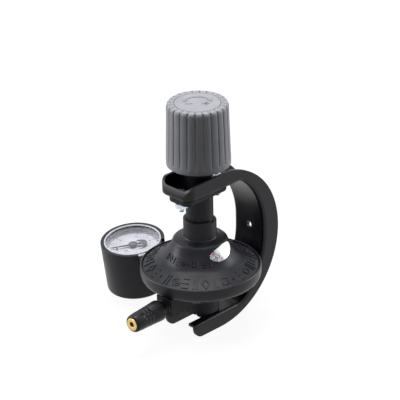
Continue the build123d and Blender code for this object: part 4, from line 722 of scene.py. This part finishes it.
cast_marks = bmesh.new()
ring_marks = (
    "target", "steps", "pair", "diamond", "bar", "square", "dot", "steps",
    "ring", "pair", "square", "bar", "diamond", "steps", "dot", "pair",
) * 2
lay_marks(
    cast_marks, ring_marks, start=-166, pitch=11.25, radius=32.0, level=32.72,
    slope=27.7, height=6.6, width=STROKE,
)
cone_marks = ("pair", "diamond", "bar", "steps", "ring", "dot", "square", "bar", "steps", "pair")
lay_marks(
    cast_marks, cone_marks, start=-205, pitch=9.2, radius=21.3, level=40.4,
    slope=52.5, height=3.6, width=STROKE * 0.8,
)
bmesh.ops.recalc_face_normals(cast_marks, faces=cast_marks.faces[:])
foundry_marks = piece(cast_marks, "bonnet_marks", cast_coat, sharp=25)
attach(foundry_marks, "regulator")

# --- Crimp band -----------------------------------------------------------------------------------
# A steel band rolled over the rims of both housing halves to hold them on the diaphragm.  The
# roller leaves facets along its lower edge; the band is coated black after rolling.
ROLL_MARKS = 76
ROLL_DEPTH = 0.22
EDGE_WAVER = 0.22
BAND_FOOT = 0.5             # how far the rolled edge hangs below the solid ring
BAND_TAPER = 1.1            # and how far it is pressed in
BAND_WALL = 0.7
BAND_LIP = 34.6             # the inner radius of its lower lip
ROLLED = 1.6                # height of the rolled edge

band_low, band_high = [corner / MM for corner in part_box("crimp_ring")]
band_radius = band_high.x
band_foot = band_low.z - BAND_FOOT
band = lathe([
    (LIP, band_high.z - 1.2, 0), (LIP, band_high.z - 0.1, 0.25),
    (band_radius - 0.2, band_high.z - 0.2, 0.5), (band_radius, band_high.z - 1.2, 0.3),
    (band_radius, band_low.z + 3.2, 0.8), (band_radius - 0.3, band_low.z + 1.3, 0.4),
    (band_radius - BAND_TAPER, band_foot, 0.4), (BAND_LIP, band_foot, 0.2),
    (BAND_LIP, band_low.z + 0.8, 0), (band_radius - BAND_WALL, band_low.z + 0.8, 0),
    (band_radius - BAND_WALL, band_high.z - 1.2, 0),
], steps=ROLL_MARKS * 5)
for vert in band.verts:
    x, y, z = vert.co / MM
    low_share = max(0, 1 - (z - band_foot) / ROLLED)
    turn = Vector((x, y)).angle_signed(Vector((1, 0)))
    if low_share and hypot(x, y) > band_radius - ROLLED:
        waver = EDGE_WAVER / 2 * noise.noise(Vector((x, y, 0)) * 0.35)
        facet = ROLL_DEPTH * (0.5 - 0.5 * cos(turn * ROLL_MARKS))
        reach = 1 - (facet + waver) * low_share / hypot(x, y)
        vert.co.x *= reach
        vert.co.y *= reach
        vert.co.z += EDGE_WAVER * noise.noise(Vector((x, y, 9)) * 0.5) * low_share * MM
band_coat = finish(
    "black_coated_steel", "15161B", "1F2027", patch=5, rough=(0.30, 0.44),
    grain=0.8, depth=0.03, mirror=0.30, IOR=1.5,
)
crimp_band = piece(band, "crimp_band", band_coat, sharp=40)
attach(crimp_band, "regulator")
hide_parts("crimp_ring")

# --- Lower housing --------------------------------------------------------------------------------
# The lower half, a die casting with the inlet boss, the outlet block and the gauge boss, coated
# like the bonnet but a little rougher, since no one sees it in use.
pan_coat = finish(
    "rough_black_powder_coat", "0F1015", "16171D", patch=8, rough=(0.42, 0.54),
    grain=0.8, depth=0.04, soft_edge=0.6, mirror=0.22, IOR=1.45,
)
dress(pan_coat, "lower_housing")

# Inside it, and in the inlet: nitrile rubber seals and diaphragm, matt and faintly dusty.
nitrile = finish(
    "black_nitrile_rubber", "141414", "1F1F20", patch=4, rough=(0.65, 0.8),
    grain=0.4, depth=0.01, IOR=1.5,
)
dress(nitrile, "diaphragm", "inlet_seal", "tail_seal", "port_seal", "seat_pad")
dress(bright_brass, "pin_carrier", "orifice", "seat_holder", "diaphragm_stem", "stem_nut")
dress(spring_steel, "loading_spring", "lever_pin", "lever")
dress(zinc_plate, "lower_plate", "upper_plate")

# The valve pin stands out of the inlet, and is turned brass too; its near-black colour is painted
# shade, for the shade it stands in under the housing.
blackened_brass = turned_metal("blackened_brass", "14130F", "211F1B", (0.35, 0.5), "Z")
dress(blackened_brass, "push_pin")

# The inlet filter is sintered bronze: grains of about a quarter millimetre fused together.
BRONZE_GRAIN = 0.25
sintered_bronze = blank("sintered_bronze", bpy.data.materials)
place = add(sintered_bronze, "TexCoord").outputs["Object"]
grains = add(sintered_bronze, "TexVoronoi", {"Vector": place, "Scale": 1 / (BRONZE_GRAIN * MM)})
tone = add(
    sintered_bronze, "Mix", {0: grains.outputs[0], 6: linear("B98B5A"), 7: linear("6E4A2A")},
    data_type="RGBA",
)
bump = add(
    sintered_bronze, "Bump",
    {"Height": grains.outputs[0], "Distance": -BRONZE_GRAIN / 3 * MM, "Strength": 1},
)
shader = add(sintered_bronze, "BsdfPrincipled", {
    "Base Color": tone.outputs[2], "Metallic": 1, "Roughness": 0.5, "Normal": bump.outputs[0],
})
add(sintered_bronze, "OutputMaterial", {"Surface": shader.outputs[0]})
dress(sintered_bronze, "inlet_filter")

# --- Hose tail, its collar and brass insert -------------------------------------------------------
# A black glass-filled plastic tail with a barb, fine rings and a stop, screwed into the outlet
# block.  A brass insert stiffens its mouth; behind it, a dark disc in the bore is painted shade.
TIP = 5.5
BARB = 6.1
STOP = 6.7
NECK = 5.1
INSERT = 4.0
TAIL_BORE = 2.4
TAIL_THREAD = 4.3
COLLAR = 5.7
COLLAR_THICK = 1.0
RING_CUT = 0.10
RING_HALF = 0.3
RING_START = 8.4
RING_PITCH = 2.8
INSERT_DEPTH = 9.0
INSERT_BORE = 1.7

tail_low, tail_high = [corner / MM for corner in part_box("hose_tail")]
seal_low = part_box("tail_seal")[0] / MM
outlet_level = (seal_low.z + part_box("tail_seal")[1].z / MM) / 2
tail_end = tail_high.x - tail_low.x
tail_face = seal_low.x - tail_low.x


def along_outlet(shape):
    """Turn a mesh made along +Z so that it runs along +X from the tail's tip."""
    bmesh.ops.rotate(shape, verts=shape.verts[:], matrix=Matrix.Rotation(pi / 2, 3, "Y"))
    bmesh.ops.translate(
        shape, verts=shape.verts[:], vec=(tail_low.x * MM, 0, outlet_level * MM),
    )
    return shape


fine_rings = []
for count in range(3):
    place = RING_START + count * RING_PITCH
    reach = BARB - 0.1 + (STOP - BARB) * count * RING_PITCH / 14
    fine_rings += [
        (reach, place - RING_HALF, 0), (reach - RING_CUT, place, 0), (reach, place + RING_HALF, 0),
    ]
tail = lathe([
    (INSERT, 0, 0.1), (TIP, 0, 1.7), (BARB - 0.15, 5.5, 0.8),
    *fine_rings, (STOP, 22.3, 0.7), (STOP, 23.6, 0.6), (NECK, 25.2, 0.8),
    (NECK, tail_face - COLLAR_THICK, 0.1), (COLLAR, tail_face - COLLAR_THICK, 0.2),
    (COLLAR, tail_face, 0.1), (TAIL_THREAD, tail_face, 0), (TAIL_THREAD, tail_end, 0.3),
    (TAIL_BORE, tail_end, 0), (TAIL_BORE, INSERT_DEPTH, 0), (INSERT, INSERT_DEPTH, 0),
])
tail_plastic = finish(
    "black_glass_filled_plastic", "0E0F13", "15161A", patch=5, rough=(0.26, 0.38),
    grain=0.6, depth=0.012, mirror=0.22, IOR=1.5,
)
tail_piece = piece(along_outlet(tail), "barbed_tail", tail_plastic)
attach(tail_piece, "regulator")
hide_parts("hose_tail")

brass_along = turned_metal(
    "faced_brass", "CDAA62", "EACB86", (0.22, 0.32), "X", (0, 0, outlet_level * MM),
)
insert_proud = tail_low.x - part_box("tail_insert")[0].x / MM
insert = lathe([
    (INSERT_BORE, -insert_proud, 0.3), (INSERT - 0.02, -insert_proud, 0.35),
    (INSERT - 0.02, INSERT_DEPTH - 0.02, 0), (INSERT_BORE, INSERT_DEPTH - 0.02, 0),
], steps=64)
insert_piece = piece(along_outlet(insert), "brass_insert", brass_along)
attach(insert_piece, "regulator")
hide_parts("tail_insert")

# A thin near-black disc closes the bore a little way in, so that it looks deep and dark: painted
# shade.
bore_shade_paint = finish(
    "dark_bore_soot", "0E0B08", "1C150D", patch=2, rough=(0.7, 0.9), grain=0.3, depth=0.01,
)
shade_disc_reach = INSERT_BORE - 0.01
plug = lathe(
    [(0, 1.6, 0), (shade_disc_reach, 1.6, 0), (shade_disc_reach, 2.2, 0), (0, 2.2, 0)], steps=32, closed=False,
)
bore_dark = piece(along_outlet(plug), "bore_shade", bore_shade_paint)
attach(bore_dark, "regulator")

# --- Foil seal ------------------------------------------------------------------------------------
# An oval silver sticker, glued round the cone.  Its foil is embossed so finely that the grooves
# split light into specks of colour, which show at its lower left end.
SPECK = 0.5                 # drawn coarser than the real embossing, so that it shows
SPECK_PATCH = 2.2
foil = blank("silver_hologram_foil", bpy.data.materials)
place = add(foil, "TexCoord").outputs["Object"]
specks = add(foil, "TexVoronoi", {"Vector": place, "Scale": 1 / (SPECK * MM)})
parts = add(foil, "SeparateXYZ", {0: specks.outputs["Color"]})
hue = add(foil, "CombineColor", {0: parts.outputs[0], 1: 0.75, 2: parts.outputs[1]}, mode="HSV")
wide = add(foil, "TexNoise", {"Vector": place, "Scale": 1 / (SPECK_PATCH * MM), "Detail": 2})
foil_low, foil_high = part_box("foil_seal")
lower_left = Vector((-0.8, 0, -0.6))
middle = lower_left.dot((foil_low + foil_high) / 2)
end = add(foil, "VectorMath", {0: place, 1: lower_left}, operation="DOT_PRODUCT")
lowness = add(foil, "MapRange", {
    "Value": end.outputs["Value"], "From Min": middle + SPECK * MM, "From Max": middle + 6 * MM,
})
mask = add(foil, "Math", {0: lowness.outputs[0], 1: wide.outputs[0]}, operation="MULTIPLY")
mask = add(foil, "MapRange", {"Value": mask.outputs[0], "From Min": 0.06, "From Max": 0.3})
tone = add(
    foil, "Mix", {0: mask.outputs[0], 6: linear("E8EAEE"), 7: hue.outputs[0]}, data_type="RGBA",
)
shader = add(
    foil, "BsdfPrincipled", {"Base Color": tone.outputs[2], "Metallic": 0.95, "Roughness": 0.3},
)
add(foil, "OutputMaterial", {"Surface": shader.outputs[0]})
dress(foil, "foil_seal")

# --- Gauge case -----------------------------------------------------------------------------------
# A black moulded cup with a rounded foot and rim, notched where it reaches under the crimp band.
# The plastic has a fine even grain from the mould and a soft gloss.
CASE_FOOT = 19.5
CASE_RIM = 20.6
CASE_WALL = 2.1
CASE_BOTTOM = -15.2
RIM_LEVEL = 18.5
LENS_LEVEL = 16.1
NOTCH_HALF = 36
NOTCH_GAP = 1.0
SOCKET_BORE = 4.7

sweep = next(joint for joint in frame["joints"] if joint["name"] == "pointer_sweep")
gauge_middle = Vector(sweep["pos_m"])
gauge_up = -Vector(sweep["axis"]).normalized()
gauge_back = Vector((0, 1, 0))
gauge_place = Matrix.Translation(gauge_middle) @ Matrix(
    (gauge_back.cross(gauge_up), gauge_back, gauge_up)
).transposed().to_4x4()


def on_gauge(shape):
    """Move a mesh made about the origin, in the gauge's own frame, to its place."""
    bmesh.ops.transform(shape, matrix=gauge_place, verts=shape.verts[:])
    return shape


inner_foot = CASE_FOOT - CASE_WALL
inner_rim = CASE_RIM - CASE_WALL
case = lathe([
    (0, CASE_BOTTOM, 0), (CASE_FOOT, CASE_BOTTOM, 1.8), (CASE_RIM, RIM_LEVEL, 0.55),
    (inner_rim + 0.1, RIM_LEVEL, 0.55), (inner_rim, RIM_LEVEL - 1.2, 0.2),
    (inner_foot, CASE_BOTTOM + CASE_WALL, 0), (0, CASE_BOTTOM + CASE_WALL, 0),
], steps=128, closed=False)
notch_floor = band_low.z - NOTCH_GAP - gauge_middle.z / MM
notch = bmesh.new()
half_width = 2 * CASE_RIM * tan(radians(NOTCH_HALF))
outline_plate(
    notch, [(0, 0), (-half_width, -2 * CASE_RIM), (half_width, -2 * CASE_RIM)],
    notch_floor, notch_floor + CASE_RIM,
)
bmesh.ops.recalc_face_normals(notch, faces=notch.faces[:])
stem_hole = bmesh.new()
bmesh.ops.create_cone(
    stem_hole, cap_ends=True, segments=48, radius1=SOCKET_BORE * MM, radius2=SOCKET_BORE * MM,
    depth=8 * MM,
    matrix=Matrix.Translation((0, -CASE_FOOT * MM, 0)) @ Matrix.Rotation(pi / 2, 4, "X"),
)
case_plastic = finish(
    "black_grained_abs", "15161B", "1C1D23", patch=9, rough=(0.32, 0.42),
    grain=0.45, depth=0.02, soft_edge=0.35, mirror=0.24, IOR=1.5,
)
gauge_case = piece(on_gauge(cut_away(case, notch, stem_hole)), "gauge_cup", case_plastic, sharp=40)
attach(gauge_case, "regulator")
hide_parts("gauge_case")

# --- Gauge liner, lens and snap ring --------------------------------------------------------------
# A pale plastic liner stands round the dial, and a clear acrylic lens snaps in over it.  The
# lens has a raised rim, moulded with it; its pale grey colour is painted highlight, for the light
# that the clear rim catches.
LENS_REACH = 18.35
LENS_THICK = 1.5
LENS_RIM = 0.95
LENS_RIM_RISE = 0.8

liner_plastic = finish(
    "pale_grey_liner_plastic", "A9AAB0", "B5B6BC", patch=5, rough=(0.45, 0.55),
    grain=0.4, depth=0.01,
)
dress(liner_plastic, "gauge_liner")

acrylic = blank("clear_acrylic", bpy.data.materials)
edge_on = add(acrylic, "LayerWeight", {"Blend": 0.5})
edge_on = add(acrylic, "Math", {0: edge_on.outputs["Facing"], 1: 5.0}, operation="POWER")
edge_on = add(acrylic, "MapRange", {"Value": edge_on.outputs[0], "To Min": 0.04, "To Max": 1})
clear = add(acrylic, "BsdfTransparent", {"Color": linear("F8F8F9")})
gloss = add(
    acrylic, "BsdfPrincipled", {"Base Color": linear("FFFFFF"), "Metallic": 1, "Roughness": 0.04},
)
both = add(
    acrylic, "MixShader", {0: edge_on.outputs[0], 1: clear.outputs[0], 2: gloss.outputs[0]},
)
add(acrylic, "OutputMaterial", {"Surface": both.outputs[0]})
dress(acrylic, "gauge_lens")

lens_top = LENS_LEVEL + LENS_THICK
snap_ring = lathe([
    (LENS_REACH - LENS_RIM, lens_top, 0.1), (LENS_REACH - LENS_RIM, lens_top + LENS_RIM_RISE, 0.35),
    (LENS_REACH, lens_top + LENS_RIM_RISE, 0.3), (LENS_REACH, lens_top, 0.1),
], steps=128)
# Painted highlight: the clear rim is drawn opaque and pale grey all round, for the light it
# catches.
lit_rim_paint = finish(
    "frosted_acrylic_rim", "B0B1B9", "BCBDC5", patch=4, rough=(0.25, 0.4),
    grain=0.4, depth=0.006, IOR=1.49,
)
lens_ring = piece(on_gauge(snap_ring), "lens_rim", lit_rim_paint)
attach(lens_ring, "regulator")

# --- Dial -----------------------------------------------------------------------------------------
# A thin aluminium plate, enamelled white, with a printed scale: a line of black ticks over
# three quarters of a turn, plain numbers inside it, and a thin arc that joins the ticks.
DIAL_HALF_SHEET = 0.3
SCALE_REACH = 16.6
SCALE_START = 141
SCALE_SWEEP = 270
TICKS = 50
TICK_LONG, TICK_MIDDLE, TICK_SHORT = (2.4, 0.34), (1.8, 0.34), (1.1, 0.2)    # length and width
ARC_WIDTH = 0.16
PRINT_RISE = 0.06
NUMBER_SIZE = 2.5
NUMBER_REACH = 11.9

dial_enamel = finish(
    "white_dial_enamel", "D0D1D8", "D8D9E0", patch=6, rough=(0.3, 0.4),
    grain=0.5, depth=0.004,
)
dress(dial_enamel, "gauge_dial")
dial_low, dial_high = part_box("gauge_dial")
dial_middle = (dial_low + dial_high) / 2 - gauge_middle
dial_face = dial_middle.dot(gauge_up) / MM + DIAL_HALF_SHEET
scale = bmesh.new()
for count in range(TICKS + 1):
    turn = radians(SCALE_START - SCALE_SWEEP * count / TICKS)
    length, width = TICK_SHORT
    if count % 5 == 0:
        length, width = TICK_MIDDLE if count % 10 else TICK_LONG
    tick = block(
        (length, width, PRINT_RISE), (SCALE_REACH - length / 2, 0, dial_face + PRINT_RISE / 2),
    )
    bmesh.ops.rotate(tick, verts=tick.verts[:], matrix=Matrix.Rotation(turn, 3, "Z"))
    join(scale, tick)
arc_turns = [radians(SCALE_START - SCALE_SWEEP * step / 90) for step in range(91)]
outline_plate(
    scale,
    [((SCALE_REACH + ARC_WIDTH) * cos(t), (SCALE_REACH + ARC_WIDTH) * sin(t)) for t in arc_turns]
    + [(SCALE_REACH * cos(t), SCALE_REACH * sin(t)) for t in reversed(arc_turns)],
    dial_face, dial_face + PRINT_RISE,
)
for count in range(6):
    turn = radians(SCALE_START - SCALE_SWEEP * count / 5)
    number = bpy.data.curves.new("number", "FONT")
    number.body = str(count)
    number.size = NUMBER_SIZE * MM
    number.extrude = PRINT_RISE / 2 * MM
    number.align_x = "CENTER"
    number.align_y = "CENTER"
    number.resolution_u = 3
    holder = bpy.data.objects.new("number", number)
    flat = bpy.data.meshes.new_from_object(holder)
    place = Vector((NUMBER_REACH * cos(turn), NUMBER_REACH * sin(turn), dial_face + PRINT_RISE / 2))
    flat.transform(Matrix.Translation(place * MM))
    scale.from_mesh(flat)
    bpy.data.objects.remove(holder)
bmesh.ops.recalc_face_normals(scale, faces=scale.faces[:])
scale_ink = finish(
    "black_scale_ink", "1E1F21", "2A2B2E", patch=2, rough=(0.5, 0.6), grain=0.2, depth=0.002,
)
dial_scale = piece(on_gauge(scale), "dial_scale", scale_ink, sharp=30)
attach(dial_scale, "regulator")

# The pointer is pressed aluminium, painted grey, on the pinion's arbor; the brass movement
# behind the dial is stamped and drawn, and shows only from inside.
pointer_paint = finish(
    "grey_pointer_paint", "4A4B50", "56575C", patch=3, rough=(0.4, 0.5), grain=0.3, depth=0.004,
)
dress(pointer_paint, "pointer", "stop_pin")
dress(zinc_plate, "dial_screws")
dress(
    bright_brass, "gauge_socket", "bourdon_tube", "movement_frame", "pinion", "sector_gear",
)
